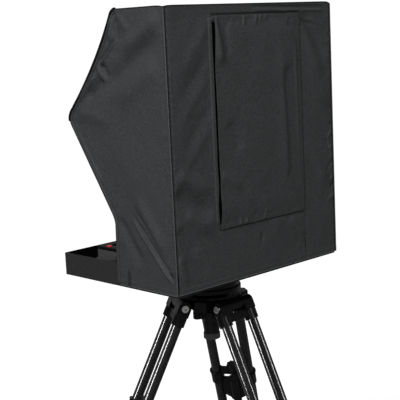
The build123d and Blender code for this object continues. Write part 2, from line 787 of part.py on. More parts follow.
# ---------------------------------------------------------------- head

def pan_drum():
    """Turntable under the tray, which runs on the spigot of the ball."""
    low = BALL_FLANGE_DROP - FIT_GAP
    with BuildPart() as drum:
        with BuildSketch(axle(low)):
            Circle(DRUM_R)
        extrude(amount=low)
        with BuildSketch(axle(low)):
            Circle(DRUM_R - DRUM_WALL)
            Circle(SPIGOT_R + DRUM_WALL, mode=Mode.SUBTRACT)
        extrude(amount=low - DRUM_ROOF, mode=Mode.SUBTRACT)
        with BuildSketch(axle(low)):
            Circle(SPIGOT_R + RUNNING)
        extrude(amount=SPIGOT_HEIGHT + SPIGOT_ROOM, mode=Mode.SUBTRACT)
        with BuildSketch(axle(0)):
            with PolarLocations(BOLT_CIRCLE_R, 4, start_angle=45):
                Circle(MOUNT_BOLT_R)
        extrude(amount=-MOUNT_BOLT_DEPTH, mode=Mode.SUBTRACT)
        chamfer(drum.faces().sort_by(Axis.Z)[0].outer_wire().edges(), length=DRUM_EDGE)
    keep(drum, "pan_drum")


def half_ball():
    """Levelling ball with a flange that carries the drum and a spigot that it turns on."""
    neck = BOWL_DROP - BALL_FLANGE_DROP - BALL_FLANGE_THICK
    with BuildPart() as ball:
        with Locations(BOWL_CENTRE):
            Sphere(BOWL_R - BALL_CLEAR, arc_size1=-90, arc_size2=0, align=HANGING)
        with BuildSketch(axle(BOWL_DROP + BALL_CUT)):
            Circle(BOWL_R)
        extrude(amount=-BOWL_R, mode=Mode.SUBTRACT)
        with BuildSketch(axle(BOWL_DROP)):
            Circle(NECK_R)
        extrude(amount=neck)
        with BuildSketch(axle(BALL_FLANGE_DROP + BALL_FLANGE_THICK)):
            Circle(BALL_FLANGE_R)
        extrude(amount=BALL_FLANGE_THICK)
        with BuildSketch(axle(BALL_FLANGE_DROP)):
            Circle(SPIGOT_R)
        extrude(amount=SPIGOT_HEIGHT)
        with BuildSketch(axle(BOWL_DROP + BALL_CUT)):
            Circle(STUD_R)
        extrude(amount=STUD_IN, mode=Mode.SUBTRACT)
    keep(ball, "half_ball")


def clamp_stud():
    with BuildPart() as stud:
        with BuildSketch(axle(STUD_END_DROP)):
            Circle(STUD_R)
        extrude(amount=STUD_END_DROP - BOWL_DROP - BALL_CUT + STUD_IN)
    keep(stud, "clamp_stud")


def clamp_washer():
    """Dished washer that follows the underside of the bowl."""
    near = BOWL_R + BOWL_WALL + WASHER_GAP
    far = near + WASHER_THICK
    with BuildPart() as washer:
        with BuildSketch(Plane(origin=BOWL_CENTRE, x_dir=(1, 0, 0), z_dir=(0, -1, 0))):
            Circle(far)
            Circle(near, mode=Mode.SUBTRACT)
            with Locations(((WASHER_INNER + WASHER_OUTER) / 2, -far / 2)):
                Rectangle(WASHER_OUTER - WASHER_INNER, far, mode=Mode.INTERSECT)
        revolve(axis=Axis((0, AXIS_Y, 0), (0, 0, 1)))
    keep(washer, "clamp_washer")


def ball_clamp_knob():
    """Three-lobed hand nut, hollowed to clear the washer, with a plain band round its foot."""
    relief = BOWL_R + BOWL_WALL + WASHER_GAP + WASHER_THICK + FIT_GAP
    arm = LOBE_REACH - LOBE_TIP_R
    with BuildPart() as knob:
        with BuildSketch(axle(CLAMP_TOP_DROP + LOBE_THICK)):
            Circle(CLAMP_R + LOBE_EDGE_R)
            with PolarLocations(arm, 3, start_angle=LOBE_ANGLE):
                Circle(LOBE_TIP_R)
            with PolarLocations(arm / 2, 3, start_angle=LOBE_ANGLE):
                Rectangle(arm, LOBE_BAR)
        extrude(amount=LOBE_THICK)
        fillet(knob.edges().filter_by(Plane.XY), radius=LOBE_EDGE_R)
        with BuildSketch(axle(CLAMP_TOP_DROP + LOBE_THICK)):
            Circle(CLAMP_R)
        extrude(amount=-(CLAMP_LENGTH - LOBE_THICK - BAND_LENGTH), taper=CLAMP_TAPER)
        with BuildSketch(axle(CLAMP_TOP_DROP + CLAMP_LENGTH - BAND_LENGTH)):
            Circle(CLAMP_R)
        extrude(amount=-BAND_LENGTH)
        chamfer(knob.faces().sort_by(Axis.Z)[0].outer_wire().edges(), length=CLAMP_EDGE)
        with BuildSketch(axle(STUD_END_DROP + FIT_GAP)):
            Circle(STUD_R + RUNNING)
        extrude(amount=CLAMP_LENGTH, mode=Mode.SUBTRACT)
        with Locations(BOWL_CENTRE):
            Sphere(relief, mode=Mode.SUBTRACT)
    keep(knob, "ball_clamp_knob")


def crown_lug(angle):
    """Plane along a leg's direction, whose normal is that leg's hinge line."""
    out = Vector(cos(radians(angle)), sin(radians(angle)), 0)
    along = Vector(-sin(radians(angle)), cos(radians(angle)), 0)
    return Plane(origin=(0, AXIS_Y, HINGE_Z), x_dir=out, z_dir=along * -1)


def tripod_crown():
    """Bowl in a three-sided block, with a hinge lug on each long side."""
    side_length = 2 * sqrt(3) * CROWN_FLAT
    lug_length = HINGE_RADIUS - CROWN_FLAT + LUG_SUNK
    with BuildPart() as crown:
        with BuildSketch(axle(CROWN_DROP)):
            Triangle(a=side_length, b=side_length, c=side_length, align=None, rotation=180)
            with PolarLocations(CROWN_CORNER + CORNER_CUT / 2, 3, start_angle=-90):
                Rectangle(CORNER_CUT, 4 * CROWN_FLAT, mode=Mode.SUBTRACT)
        extrude(amount=CROWN_DROP - BOWL_DROP - RIM_THICK)
        with BuildSketch(axle(BOWL_DROP + RIM_THICK)):
            Circle(RIM_R)
        extrude(amount=RIM_THICK)
        with BuildSketch(axle(BOWL_DROP + (RIM_THICK + RIM_GROOVE) / 2)):
            Circle(RIM_R + RIM_GROOVE)
            Circle(RIM_R - RIM_GROOVE, mode=Mode.SUBTRACT)
        extrude(amount=RIM_GROOVE, mode=Mode.SUBTRACT)
        with Locations(BOWL_CENTRE):
            Sphere(BOWL_R + BOWL_WALL, arc_size1=-90, arc_size2=0, align=HANGING)
        for angle in LEG_ANGLES.values():
            with BuildSketch(crown_lug(angle)):
                with Locations((HINGE_RADIUS, 0)):
                    Circle(HINGE_R - LUG_GAP)
                with Locations((HINGE_RADIUS - lug_length / 2, 0)):
                    Rectangle(lug_length, 2 * (HINGE_R - LUG_GAP))
            extrude(amount=TONGUE_WIDTH / 2, both=True)
            with BuildSketch(crown_lug(angle)):
                with Locations((HINGE_RADIUS, 0)):
                    Circle(HINGE_BOLT_R)
            extrude(amount=TONGUE_WIDTH, both=True, mode=Mode.SUBTRACT)
        with Locations(BOWL_CENTRE):
            Sphere(BOWL_R, mode=Mode.SUBTRACT)
        with BuildSketch(axle(BOWL_DROP)):
            Circle(BOWL_HOLE_R)
        extrude(amount=-2 * BOWL_R, mode=Mode.SUBTRACT)
    keep(crown, "tripod_crown")


def leg_hinge_bolts():
    with BuildPart() as bolts:
        for angle in LEG_ANGLES.values():
            leg = leg_plane(angle)
            seat = EAR_OUT + BOLT_CAP_GAP
            with BuildSketch(leg_side(leg, 0)):
                Circle(HINGE_BOLT_R)
            extrude(amount=seat + BOLT_CAP_THICK / 2, both=True)
            for side in (-1, 1):
                with BuildSketch(leg_side(leg, side * seat)):
                    Circle(BOLT_CAP_R)
                extrude(amount=side * BOLT_CAP_THICK, taper=BOLT_CAP_TAPER)
                with BuildSketch(leg_side(leg, side * (seat + BOLT_CAP_THICK))):
                    RegularPolygon(BOLT_KEY_R, 6)
                extrude(amount=-side * BOLT_KEY_DEPTH, mode=Mode.SUBTRACT)
    keep(bolts, "leg_hinge_bolts")


# ---------------------------------------------------------------- legs

def leg_yoke(node, leg):
    """Casting that hinges on the crown and holds both leg tubes."""
    ear_in = TONGUE_WIDTH / 2 + EAR_GAP
    with BuildPart() as yoke:
        for side in (-1, 1):
            with BuildSketch(leg_side(leg, side * ear_in)):
                Circle(HINGE_R)
                with Locations((0, -EAR_FOOT / 2)):
                    Rectangle(2 * HINGE_R, EAR_FOOT)
            extrude(amount=side * (EAR_OUT - ear_in))
        with BuildSketch(leg.offset(-SOCKET_END)):
            with Locations((-TUBE_X, 0), (TUBE_X, 0)):
                Circle(SOCKET_R)
        extrude(amount=SOCKET_END - SOCKET_START)
        with BuildSketch(leg.offset(-YOKE_BAR_END)):
            Rectangle(TUBE_SPACING - SOCKET_R / 2, YOKE_BAR_THICK)
        extrude(amount=YOKE_BAR_END - YOKE_BAR_START)
        with BuildSketch(leg.offset(-SOCKET_END)):
            with Locations((-TUBE_X, 0), (TUBE_X, 0)):
                Circle(TUBE_R)
        extrude(amount=SOCKET_END - TUBE_START, mode=Mode.SUBTRACT)
        with BuildSketch(leg_side(leg, 0)):
            Circle(HINGE_BOLT_R + RUNNING)
        extrude(amount=2 * EAR_OUT, both=True, mode=Mode.SUBTRACT)
    keep(yoke, node)


def leg_tubes(node, leg):
    with BuildPart() as tubes:
        with BuildSketch(leg.offset(-TUBE_END)):
            with Locations((-TUBE_X, 0), (TUBE_X, 0)):
                Circle(TUBE_R)
                Circle(TUBE_R - TUBE_WALL, mode=Mode.SUBTRACT)
        extrude(amount=TUBE_END - TUBE_START)
    keep(tubes, node)


def leg_collar(node, leg):
    """Casting at the lower end of the twin tubes, which guides the centre tube."""
    with BuildPart() as collar:
        with BuildSketch(leg.offset(-COLLAR_END)):
            with Locations((-TUBE_X, 0), (TUBE_X, 0)):
                Circle(SOCKET_R)
            Circle(SOCKET_R)
            Rectangle(TUBE_SPACING, COLLAR_WEB)
        extrude(amount=COLLAR_END - COLLAR_START)
        with BuildSketch(leg.offset(-TUBE_END)):
            with Locations((-TUBE_X, 0), (TUBE_X, 0)):
                Circle(TUBE_R)
        extrude(amount=TUBE_END, mode=Mode.SUBTRACT)
        with BuildSketch(leg.offset(-COLLAR_END)):
            Circle(CENTRE_R + RUNNING)
        extrude(amount=COLLAR_END, mode=Mode.SUBTRACT)
    keep(collar, node)


def leg_slider(node, leg):
    """Bridge that runs on the twin tubes and carries the centre tube."""
    face = Plane(origin=leg.origin, x_dir=leg.x_dir, z_dir=leg.y_dir * -1)
    with BuildPart() as slider:
        with BuildSketch(face):
            with BuildLine():
                Polyline(
                    (-TUBE_X, -SLIDER_START),
                    (TUBE_X, -SLIDER_START),
                    (TUBE_X, -SLIDER_SHOULDER),
                    (SOCKET_R, -SLIDER_END),
                    (-SOCKET_R, -SLIDER_END),
                    (-TUBE_X, -SLIDER_SHOULDER),
                    close=True,
                )
            make_face()
        extrude(amount=SLIDER_THICK / 2, both=True)
        with BuildSketch(leg.offset(-CUP_END)):
            with Locations((-TUBE_X, 0), (TUBE_X, 0)):
                Circle(SOCKET_R)
        extrude(amount=CUP_END - SLIDER_START)
        with BuildSketch(leg.offset(-SLIDER_START - SLIDER_RIM)):
            with Locations((-TUBE_X, 0), (TUBE_X, 0)):
                Circle(SOCKET_R + SLIDER_RIM_OUT)
            Rectangle(TUBE_SPACING, SLIDER_LEDGE)
        extrude(amount=SLIDER_RIM)
        with BuildSketch(leg.offset(-SLIDER_END)):
            Circle(SOCKET_R)
        extrude(amount=SLIDER_END - CENTRE_START + CENTRE_CAP)
        with BuildSketch(face.offset(SLIDER_THICK / 2)):
            with Locations([(x, -(RIB_START + SLIDER_SHOULDER) / 2) for x in RIB_PLACES]):
                Rectangle(RIB_WIDTH, SLIDER_SHOULDER - RIB_START)
        extrude(amount=RIB_PROUD)
        with BuildSketch(leg.offset(-SLIDER_END)):
            with Locations((-TUBE_X, 0), (TUBE_X, 0)):
                Circle(TUBE_R + RUNNING)
        extrude(amount=SLIDER_END, mode=Mode.SUBTRACT)
        with BuildSketch(face):
            with Locations((0, -WINDOW_AT)):
                Rectangle(WINDOW_WIDTH, WINDOW_TALL)
        extrude(amount=SLIDER_LEDGE, both=True, mode=Mode.SUBTRACT)
        with BuildSketch(leg.offset(-SLIDER_END)):
            Circle(CENTRE_R)
        extrude(amount=SLIDER_END - CENTRE_START, mode=Mode.SUBTRACT)
        with BuildSketch(leg.offset(-SLIDER_START)):
            Circle(KNOB_STEM_R + RUNNING)
        extrude(amount=-(KNOB_STEM_IN + KNOB_STEM_ROOM), mode=Mode.SUBTRACT)
    keep(slider, node)


def leg_knob(node, leg):
    """Knob that pulls the slider tight on its tubes."""
    with BuildPart() as knob:
        with BuildSketch(leg.offset(-SLIDER_START + LEG_KNOB_GAP)):
            lobed_disc(LEG_KNOB_R, LEG_KNOB_LOBES)
        extrude(amount=LEG_KNOB_HEIGHT)
        fillet(knob.faces().sort_by(Axis(leg.origin, leg.z_dir))[-1].edges(), radius=KNOB_EDGE_R)
        with BuildSketch(leg.offset(-SLIDER_START - KNOB_STEM_IN)):
            Circle(KNOB_STEM_R)
        extrude(amount=KNOB_STEM_IN + 2 * LEG_KNOB_GAP)
    keep(knob, node)


def leg_centre_tube(node, leg):
    with BuildPart() as tube:
        with BuildSketch(leg.offset(-FOOT_START - FOOT_GRIP)):
            Circle(CENTRE_R)
            Circle(CENTRE_R - TUBE_WALL, mode=Mode.SUBTRACT)
        extrude(amount=FOOT_START + FOOT_GRIP - CENTRE_START)
    keep(tube, node)


def leg_foot(node, leg):
    """Rubber boot, cut level where it stands on the floor."""
    with BuildPart() as foot:
        with BuildSketch(leg.offset(-LEG_LENGTH - FOOT_R)):
            Circle(FOOT_R)
        extrude(amount=LEG_LENGTH + FOOT_R - FOOT_START)
        split(bisect_by=Plane.XY, keep=Keep.TOP)
        with BuildSketch(leg.offset(-FOOT_START - FOOT_GRIP)):
            Circle(CENTRE_R)
        extrude(amount=2 * FOOT_GRIP, mode=Mode.SUBTRACT)
    keep(foot, node)


# ---------------------------------------------------------------- everything

def make_all():
    os.makedirs("parts", exist_ok=True)
    base_tray()
    tray_rivets()
    mount_plate()
    mount_bolts()
    monitor_case()
    monitor_bezel()
    lcd_panel()
    driver_board()
    monitor_standoffs()
    signal_sockets()
    push_button("power_button", POWER_AT, POWER_R)
    push_button("menu_button_up", MENU_AT[0], MENU_R)
    push_button("menu_button_down", MENU_AT[1], MENU_R)
    power_adapter()
    adapter_screws()
    glass_frame()
    glass_pane()
    rear_baffle()
    for word, side in (("right", 1), ("left", -1)):
        glass_arm(f"glass_arm_{word}", side)
        glass_knob(f"glass_knob_{word}", side)
        hood_side(f"hood_side_{word}", side)
    camera_riser()
    camera_plate()
    camera_screw()
    hood_frame()
    hood_top()
    hood_front()
    hood_back()
    hood_flap()
    pan_drum()
    half_ball()
    clamp_stud()
    clamp_washer()
    ball_clamp_knob()
    tripod_crown()
    leg_hinge_bolts()
    for name, angle in LEG_ANGLES.items():
        leg = leg_plane(angle)
        leg_yoke(f"{name}_leg_yoke", leg)
        leg_tubes(f"{name}_leg_tubes", leg)
        leg_collar(f"{name}_leg_collar", leg)
        leg_slider(f"{name}_leg_slider", leg)
        leg_knob(f"{name}_leg_knob", leg)
        leg_centre_tube(f"{name}_leg_centre_tube", leg)
        leg_foot(f"{name}_leg_foot", leg)


make_all()
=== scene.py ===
import bpy
import json
import math
import random
from mathutils import Matrix, Vector, noise


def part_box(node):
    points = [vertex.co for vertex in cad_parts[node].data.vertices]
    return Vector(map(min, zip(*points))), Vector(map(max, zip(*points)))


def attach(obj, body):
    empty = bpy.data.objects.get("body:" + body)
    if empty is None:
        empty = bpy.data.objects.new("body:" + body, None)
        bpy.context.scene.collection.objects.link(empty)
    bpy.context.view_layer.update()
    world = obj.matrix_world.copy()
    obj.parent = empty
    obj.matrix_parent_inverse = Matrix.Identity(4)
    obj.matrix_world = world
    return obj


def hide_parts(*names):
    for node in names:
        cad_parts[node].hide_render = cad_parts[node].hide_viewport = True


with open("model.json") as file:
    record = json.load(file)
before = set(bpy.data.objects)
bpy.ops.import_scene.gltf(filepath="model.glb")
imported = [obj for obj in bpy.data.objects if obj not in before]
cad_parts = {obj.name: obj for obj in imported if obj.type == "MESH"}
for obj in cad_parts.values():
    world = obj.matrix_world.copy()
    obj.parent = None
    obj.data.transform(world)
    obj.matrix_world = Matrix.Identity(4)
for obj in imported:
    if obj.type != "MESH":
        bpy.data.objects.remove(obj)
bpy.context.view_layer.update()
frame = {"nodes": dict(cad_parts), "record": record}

# A teleprompter on its tripod, in metres. The reader sits towards -Y, the camera stands towards +Y.
# Places on the prompter are (across, forward of the hood's back, height above the tray's underside).
# A number called out is how far cloth stands off its flat panel. A vector called out points that way.

MM = 0.001
BACK_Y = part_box("hood_back")[1].y
BASE_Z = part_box("base_tray")[0].z
HALF_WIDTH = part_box("hood_side_right")[1].x
HOOD_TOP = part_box("hood_back")[1].z - BASE_Z
HOOD_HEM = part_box("hood_back")[0].z - BASE_Z
TOP_DEPTH = BACK_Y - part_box("hood_top")[0].y
NOSE_DEPTH = 339 * MM        # the nose is the hood's foremost point
NOSE_HEIGHT = 377 * MM
WAIST_DEPTH = 191 * MM       # the waist is where the slope meets the upright skirt
WAIST_HEIGHT = 152 * MM
SKIRT_DEPTH = 196 * MM
BROW_SAG = 15 * MM           # of the front edge, between the nose and the top
WAIST_EASE = 9 * MM          # how softly the edge turns at the waist
NOSE_EASE = 30 * MM          # and at the nose
TOP_ROUND = 10 * MM          # of the side panel's top front corner
HEM_ROUND = 9 * MM           # of its bottom front corner
CORNER_DROP = 4 * MM         # of the roof's corners
CORNER_REACH = 6 * MM
DROP_REACH = 30 * MM         # how far down a panel the dip of its corner reaches
SLACK_REACH = 40 * MM        # from a seam to where the cloth hangs fully slack
SEAM_REACH = 6 * MM          # from a seam to where folds start
BOTTOM_HEM = 12 * MM
HEM_STEP = 0.5 * MM          # by which the doubled hem stands out
SEAM_DIP = 0.6 * MM          # by which cloth pulls in at the upright seams
CLOTH_THICK = 1.2 * MM
TAPE_THICK = 0.5 * MM
FLAP_LOW, FLAP_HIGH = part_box("hood_flap")
TRAY_LOW, TRAY_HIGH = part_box("base_tray")
BAND_HEIGHT = 15 * MM        # of the band round the clamp knob's foot

steady = random.Random(7)    # the same draws on each run


def place(across, forward, height):
    return Vector((across, BACK_Y - forward, BASE_Z + height))


def smooth_step(x):
    x = min(max(x, 0.0), 1.0)
    return x * x * (3 - 2 * x)


def bump_at(offset, width):
    """Smooth hump: 1 where the offset is 0, almost gone at twice the width."""
    return math.exp(-((offset / width) ** 2))


# ---------------------------------------------------------------- mesh helpers

def new_object(name, vertices, faces, smooth=True):
    mesh = bpy.data.meshes.new(name)
    mesh.from_pydata([tuple(v) for v in vertices], [], faces)
    mesh.update()
    if smooth:
        mesh.shade_smooth()
    piece = bpy.data.objects.new(name, mesh)
    bpy.context.scene.collection.objects.link(piece)
    return piece


def thicken(piece, thickness, offset):
    """Give a surface its thickness: offset -1 puts it all behind the surface, 0 on both sides."""
    solid = piece.modifiers.new("thickness", "SOLIDIFY")
    solid.thickness = thickness
    solid.offset = offset
    return piece


def spread(low, high, step, fine=()):
    """Places from low to high, closer together near each (place, reach, finer step)."""
    places = [low]
    while places[-1] < high:
        near = [small for middle, reach, small in fine if abs(places[-1] - middle) < reach]
        places.append(places[-1] + min([step] + near))
    places[-1] = high
    return places


def grid_sheet(name, firsts, seconds, point, keep=None, flip=False):
    """Sheet of quads: point(a, b) gives each corner, and keep(a, b) drops faces from a window."""
    vertices = [point(a, b) for b in seconds for a in firsts]
    width = len(firsts)
    faces = []
    for j in range(len(seconds) - 1):
        for i in range(width - 1):
            middle = ((firsts[i] + firsts[i + 1]) / 2, (seconds[j] + seconds[j + 1]) / 2)
            if keep and not keep(*middle):
                continue
            corner = j * width + i
            quad = (corner, corner + 1, corner + width + 1, corner + width)
            faces.append(quad[::-1] if flip else quad)
    return thicken(new_object(name, vertices, faces), CLOTH_THICK, -1)


def tube(name, points, radius):
    """Round cord sewn along a line of points."""
    curve = bpy.data.curves.new(name, "CURVE")
    curve.dimensions = "3D"
    curve.bevel_depth = radius
    curve.bevel_resolution = 3
    spline = curve.splines.new("POLY")
    spline.points.add(len(points) - 1)
    for knot, at in zip(spline.points, points):
        knot.co = (*at, 1)
    spline.use_smooth = True
    piece = bpy.data.objects.new(name, curve)
    bpy.context.scene.collection.objects.link(piece)
    return piece


def strip(name, edge, inner, lift):
    """Folded tape over an edge line: from points on one face, round the edge. lift is off the face."""
    vertices = []
    for on_edge, on_face in zip(edge, inner):
        middle = (on_face + on_edge) / 2
        vertices += [on_face + lift, middle + lift * 1.3, on_edge + lift * 0.9, on_edge - lift * 0.9]
    faces = []
    for k in range(len(edge) - 1):
        for m in range(3):
            a = k * 4 + m
            faces.append((a, a + 1, a + 5, a + 4))
    return thicken(new_object(name, vertices, faces), TAPE_THICK, 0)


STITCH = 3.2 * MM
STITCH_GAP = 1.8 * MM
THREAD_R = 0.35 * MM
THREAD_SIDES = 6
# Each ring of a stitch: its place along the stitch and its size, so the ends taper
THREAD_RINGS = ((-0.5, 0.35), (-0.3, 1.0), (0.3, 1.0), (0.5, 0.35))


def stitches(name, points, out):
    """Row of thread stitches along a line that lies on cloth. out points off the cloth."""
    vertices = []
    faces = []
    run = 0.0
    for a, b in zip(points, points[1:]):
        way = b - a
        length = way.length
        if length < 1e-6:
            continue
        way = way / length
        across = way.cross(out).normalized()
        while run < length:
            middle = a + way * run + out * THREAD_R
            start = len(vertices)
            for along, size in THREAD_RINGS:
                centre = middle + way * (along * STITCH) - out * (THREAD_R * (1 - size))
                for k in range(THREAD_SIDES):
                    turn = math.tau * k / THREAD_SIDES
                    ring = across * math.cos(turn) + out * math.sin(turn)
                    vertices.append(centre + ring * (THREAD_R * size))
            for ring in range(len(THREAD_RINGS) - 1):
                low = start + ring * THREAD_SIDES
                high = low + THREAD_SIDES
                for k in range(THREAD_SIDES):
                    after = (k + 1) % THREAD_SIDES
                    faces.append((low + k, low + after, high + after, high + k))
            last = len(vertices) - THREAD_SIDES
            faces.append(tuple(start + k for k in reversed(range(THREAD_SIDES))))
            faces.append(tuple(last + k for k in range(THREAD_SIDES)))
            run += STITCH + STITCH_GAP
        run -= length
    return new_object(name, vertices, faces)


# ---------------------------------------------------------------- folds in cloth

FOLD_GAIN = 1.7          # how much deeper folds are drawn than the lists below say
CREASE_GAIN = 2.6


def along_line(p, a, b):
    """(distance from the line a-b with its sign, how far along it from 0 to 1)."""
    way = (b[0] - a[0], b[1] - a[1])
    length = math.hypot(*way)
    rel = (p[0] - a[0], p[1] - a[1])
    t = (rel[0] * way[0] + rel[1] * way[1]) / length ** 2
    side = (rel[0] * way[1] - rel[1] * way[0]) / length
    return side, t


def fold(p, a, b, width, depth, start=0.15, end=0.15):
    """Soft ridge (or valley, with a negative depth) along a line, which fades out at both ends."""
    side, t = along_line(p, a, b)
    if t < 0 or t > 1 or abs(side) > 3.5 * width:
        return 0.0
    fade = smooth_step(t / start) * smooth_step((1 - t) / end)
    return FOLD_GAIN * depth * bump_at(side, width) * fade


def crease(p, a, b, width, depth, start=0.15, end=0.15):
    """Pinched fold: a ridge with a valley close beside it."""
    side, t = along_line(p, a, b)
    if t < 0 or t > 1 or abs(side) > 4 * width:
        return 0.0
    fade = smooth_step(t / start) * smooth_step((1 - t) / end)
    return CREASE_GAIN * depth * (side / width) * bump_at(side, width) * fade


def billow(p, size, seed):
    """Slow waves of slack cloth, about -1 to 1. The seed picks the pattern."""
    return noise.noise(Vector((p[0] / size, p[1] / size, seed)))


def make_puckers(start, end, into, count, length, depth):
    """Short folds that run into a panel from a gathered seam."""
    folds = []
    for k in range(count):
        t = (k + steady.uniform(0.1, 0.9)) / count
        at = (start[0] + (end[0] - start[0]) * t, start[1] + (end[1] - start[1]) * t)
        reach = length * steady.uniform(0.5, 1.3)
        lean = steady.uniform(-0.35, 0.35)
        tip = (
            at[0] + (into[0] + lean * into[1]) * reach,
            at[1] + (into[1] + lean * into[0]) * reach,
        )
        width = steady.uniform(2.2, 4.5) * MM
        folds.append((at, tip, width, depth * steady.uniform(0.4, 1.0) * steady.choice((1, 1, -0.8))))
    return folds


def puckers(p, folds):
    return sum(fold(p, at, tip, width, depth, 0.12, 0.6) for at, tip, width, depth in folds)


# ---------------------------------------------------------------- materials

GRAIN_DEPTH = 0.4 * MM


def material(name):
    made = bpy.data.materials.new(name)
    made.use_nodes = True
    return made


def link(made, source, target):
    made.node_tree.links.new(source, target)


def node(made, kind, **values):
    one = made.node_tree.nodes.new(kind)
    for key, value in values.items():
        if key in one.inputs.keys():
            one.inputs[key].default_value = value
        else:
            setattr(one, key, value)
    return one


def shader_of(made):
    return made.node_tree.nodes["Principled BSDF"]


def mottled(made, dark, light, scale, detail=6.0, ends=(0.3, 0.7)):
    """Base colour that wanders between two greys or colours, in object space."""
    place_in = node(made, "ShaderNodeTexCoord")
    cloud = node(made, "ShaderNodeTexNoise", Scale=scale, Detail=detail, Roughness=0.6)
    link(made, place_in.outputs["Object"], cloud.inputs["Vector"])
    ramp = node(made, "ShaderNodeValToRGB")
    ramp.color_ramp.elements[0].position = ends[0]
    ramp.color_ramp.elements[1].position = ends[1]
    ramp.color_ramp.elements[0].color = dark
    ramp.color_ramp.elements[1].color = light
    link(made, cloud.outputs["Fac"], ramp.inputs["Fac"])
    link(made, ramp.outputs["Color"], shader_of(made).inputs["Base Color"])


def grey(value, warm=0.0):
    return (value * (1 + warm), value, value * (1 - warm), 1.0)


def rough_skin(made, scale, strength):
    """Fine bumps, such as powder coat, cast metal or moulded grain."""
    place_in = node(made, "ShaderNodeTexCoord")
    grain = node(made, "ShaderNodeTexNoise", Scale=scale, Detail=3.0, Roughness=0.55)
    bump = node(made, "ShaderNodeBump", Strength=strength, Distance=GRAIN_DEPTH)
    link(made, place_in.outputs["Object"], grain.inputs["Vector"])
    link(made, grain.outputs["Fac"], bump.inputs["Height"])
    link(made, bump.outputs["Normal"], shader_of(made).inputs["Normal"])


def hood_cloth(name="hood_nylon", dark=0.020, light=0.036):
    """Coated nylon: dull and slightly mottled, with a fine plain weave and soft crinkles."""
    made = material(name)
    shader = shader_of(made)
    mottled(made, grey(dark, -0.03), grey(light, -0.03), 320, ends=(0.34, 0.66))
    shader.inputs["Roughness"].default_value = 0.62
    shader.inputs["Specular IOR Level"].default_value = 0.05
    place_in = node(made, "ShaderNodeTexCoord")
    heights = []
    for direction in ("X", "Z"):
        wave = node(made, "ShaderNodeTexWave", Scale=620.0, Distortion=0.6)
        wave.bands_direction = direction
        wave.inputs["Detail"].default_value = 1.0
        link(made, place_in.outputs["Object"], wave.inputs["Vector"])
        heights.append(wave)
    weave = node(made, "ShaderNodeMath", operation="MAXIMUM")
    link(made, heights[0].outputs["Fac"], weave.inputs[0])
    link(made, heights[1].outputs["Fac"], weave.inputs[1])
    bump = node(made, "ShaderNodeBump", Strength=0.3, Distance=GRAIN_DEPTH)
    link(made, weave.outputs[0], bump.inputs["Height"])
    crinkle = node(made, "ShaderNodeTexNoise", Scale=30.0, Detail=2.5, Roughness=0.5, Distortion=0.6)
    link(made, place_in.outputs["Object"], crinkle.inputs["Vector"])
    rumple = node(made, "ShaderNodeBump", Strength=0.3, Distance=3 * MM)
    link(made, crinkle.outputs["Fac"], rumple.inputs["Height"])
    link(made, bump.outputs["Normal"], rumple.inputs["Normal"])
    link(made, rumple.outputs["Normal"], shader.inputs["Normal"])
    return made


def plain_skin(name, dark, light, roughness, grain, strength, metal=0.0, specular=0.5):
    """Even skin with a fine grain: grain is how fine it is, strength how much it shows."""
    made = material(name)
    shader = shader_of(made)
    mottled(made, dark, light, grain * 0.12, 5.0)
    shader.inputs["Roughness"].default_value = roughness
    shader.inputs["Metallic"].default_value = metal
    shader.inputs["Specular IOR Level"].default_value = specular
    rough_skin(made, grain, strength)
    return made


def math_node(made, operation, first, second):
    one = made.node_tree.nodes.new("ShaderNodeMath")
    one.operation = operation
    for socket, value in zip(one.inputs, (first, second)):
        if isinstance(value, float):
            socket.default_value = value
        else:
            link(made, value, socket)
    return one.outputs[0]


def place_axes(made):
    """Outputs with the X, Y and Z of a point in object space."""
    place_in = node(made, "ShaderNodeTexCoord")
    split = node(made, "ShaderNodeSeparateXYZ")
    link(made, place_in.outputs["Object"], split.inputs[0])
    return list(split.outputs)


def mix_colours(made, share, other):
    """Base colour that stays as it is where share is 0, and is the other colour where it is 1."""
    paint = shader_of(made).inputs["Base Color"].links[0].from_socket
    mix = node(made, "ShaderNodeMix", data_type="RGBA")
    colours = [socket for socket in mix.inputs if socket.type == "RGBA"]
    colours[1].default_value = other
    link(made, share, mix.inputs[0])
    link(made, paint, colours[0])
    blend = [out for out in mix.outputs if out.type == "RGBA"][0]
    link(made, blend, shader_of(made).inputs["Base Color"])


def tray_skin():
    """Grey powder coat outside, and every inner face painted near black: a matt black inside, darkened
    further as painted shade of the tray's hollow.
    """
    made = plain_skin("tray_coat", grey(0.014, 0.01), grey(0.020, 0.01), 0.45, 1400, 0.35, specular=0.05)
    x, y, z = place_axes(made)
    aside = math_node(made, "GREATER_THAN", math_node(made, "ABSOLUTE", x, 0.0), TRAY_HIGH.x - 1 * MM)
    front = math_node(made, "LESS_THAN", y, TRAY_LOW.y + 1 * MM)
    below = math_node(made, "LESS_THAN", z, TRAY_LOW.z + 1 * MM)
    outside = math_node(made, "MAXIMUM", math_node(made, "MAXIMUM", aside, front), below)
    inside = math_node(made, "SUBTRACT", 1.0, outside)
    # inner faces painted near black: painted shade inside the tray, over a matt black inside
    mix_colours(made, inside, grey(0.002))
    return made


def banded_skin():
    """Black moulded knob with a grey rubber band round its foot."""
    made = plain_skin("banded_knob", grey(0.002), grey(0.004), 0.34, 1600, 0.4, specular=0.15)
    height = place_axes(made)[2]
    band = math_node(made, "LESS_THAN", height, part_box("ball_clamp_knob")[0].z + BAND_HEIGHT)
    mix_colours(made, band, grey(0.035))
    return made


def glass_skin():
    """Half-mirror glass: pale, clear and partly reflecting."""
    made = material("half_mirror_glass")
    shader = shader_of(made)
    mottled(made, (0.62, 0.68, 0.68, 1), (0.72, 0.76, 0.76, 1), 4, 2.0)
    shader.inputs["Roughness"].default_value = 0.02
    shader.inputs["Alpha"].default_value = 0.35
    shader.inputs["Metallic"].default_value = 0.35
    return made


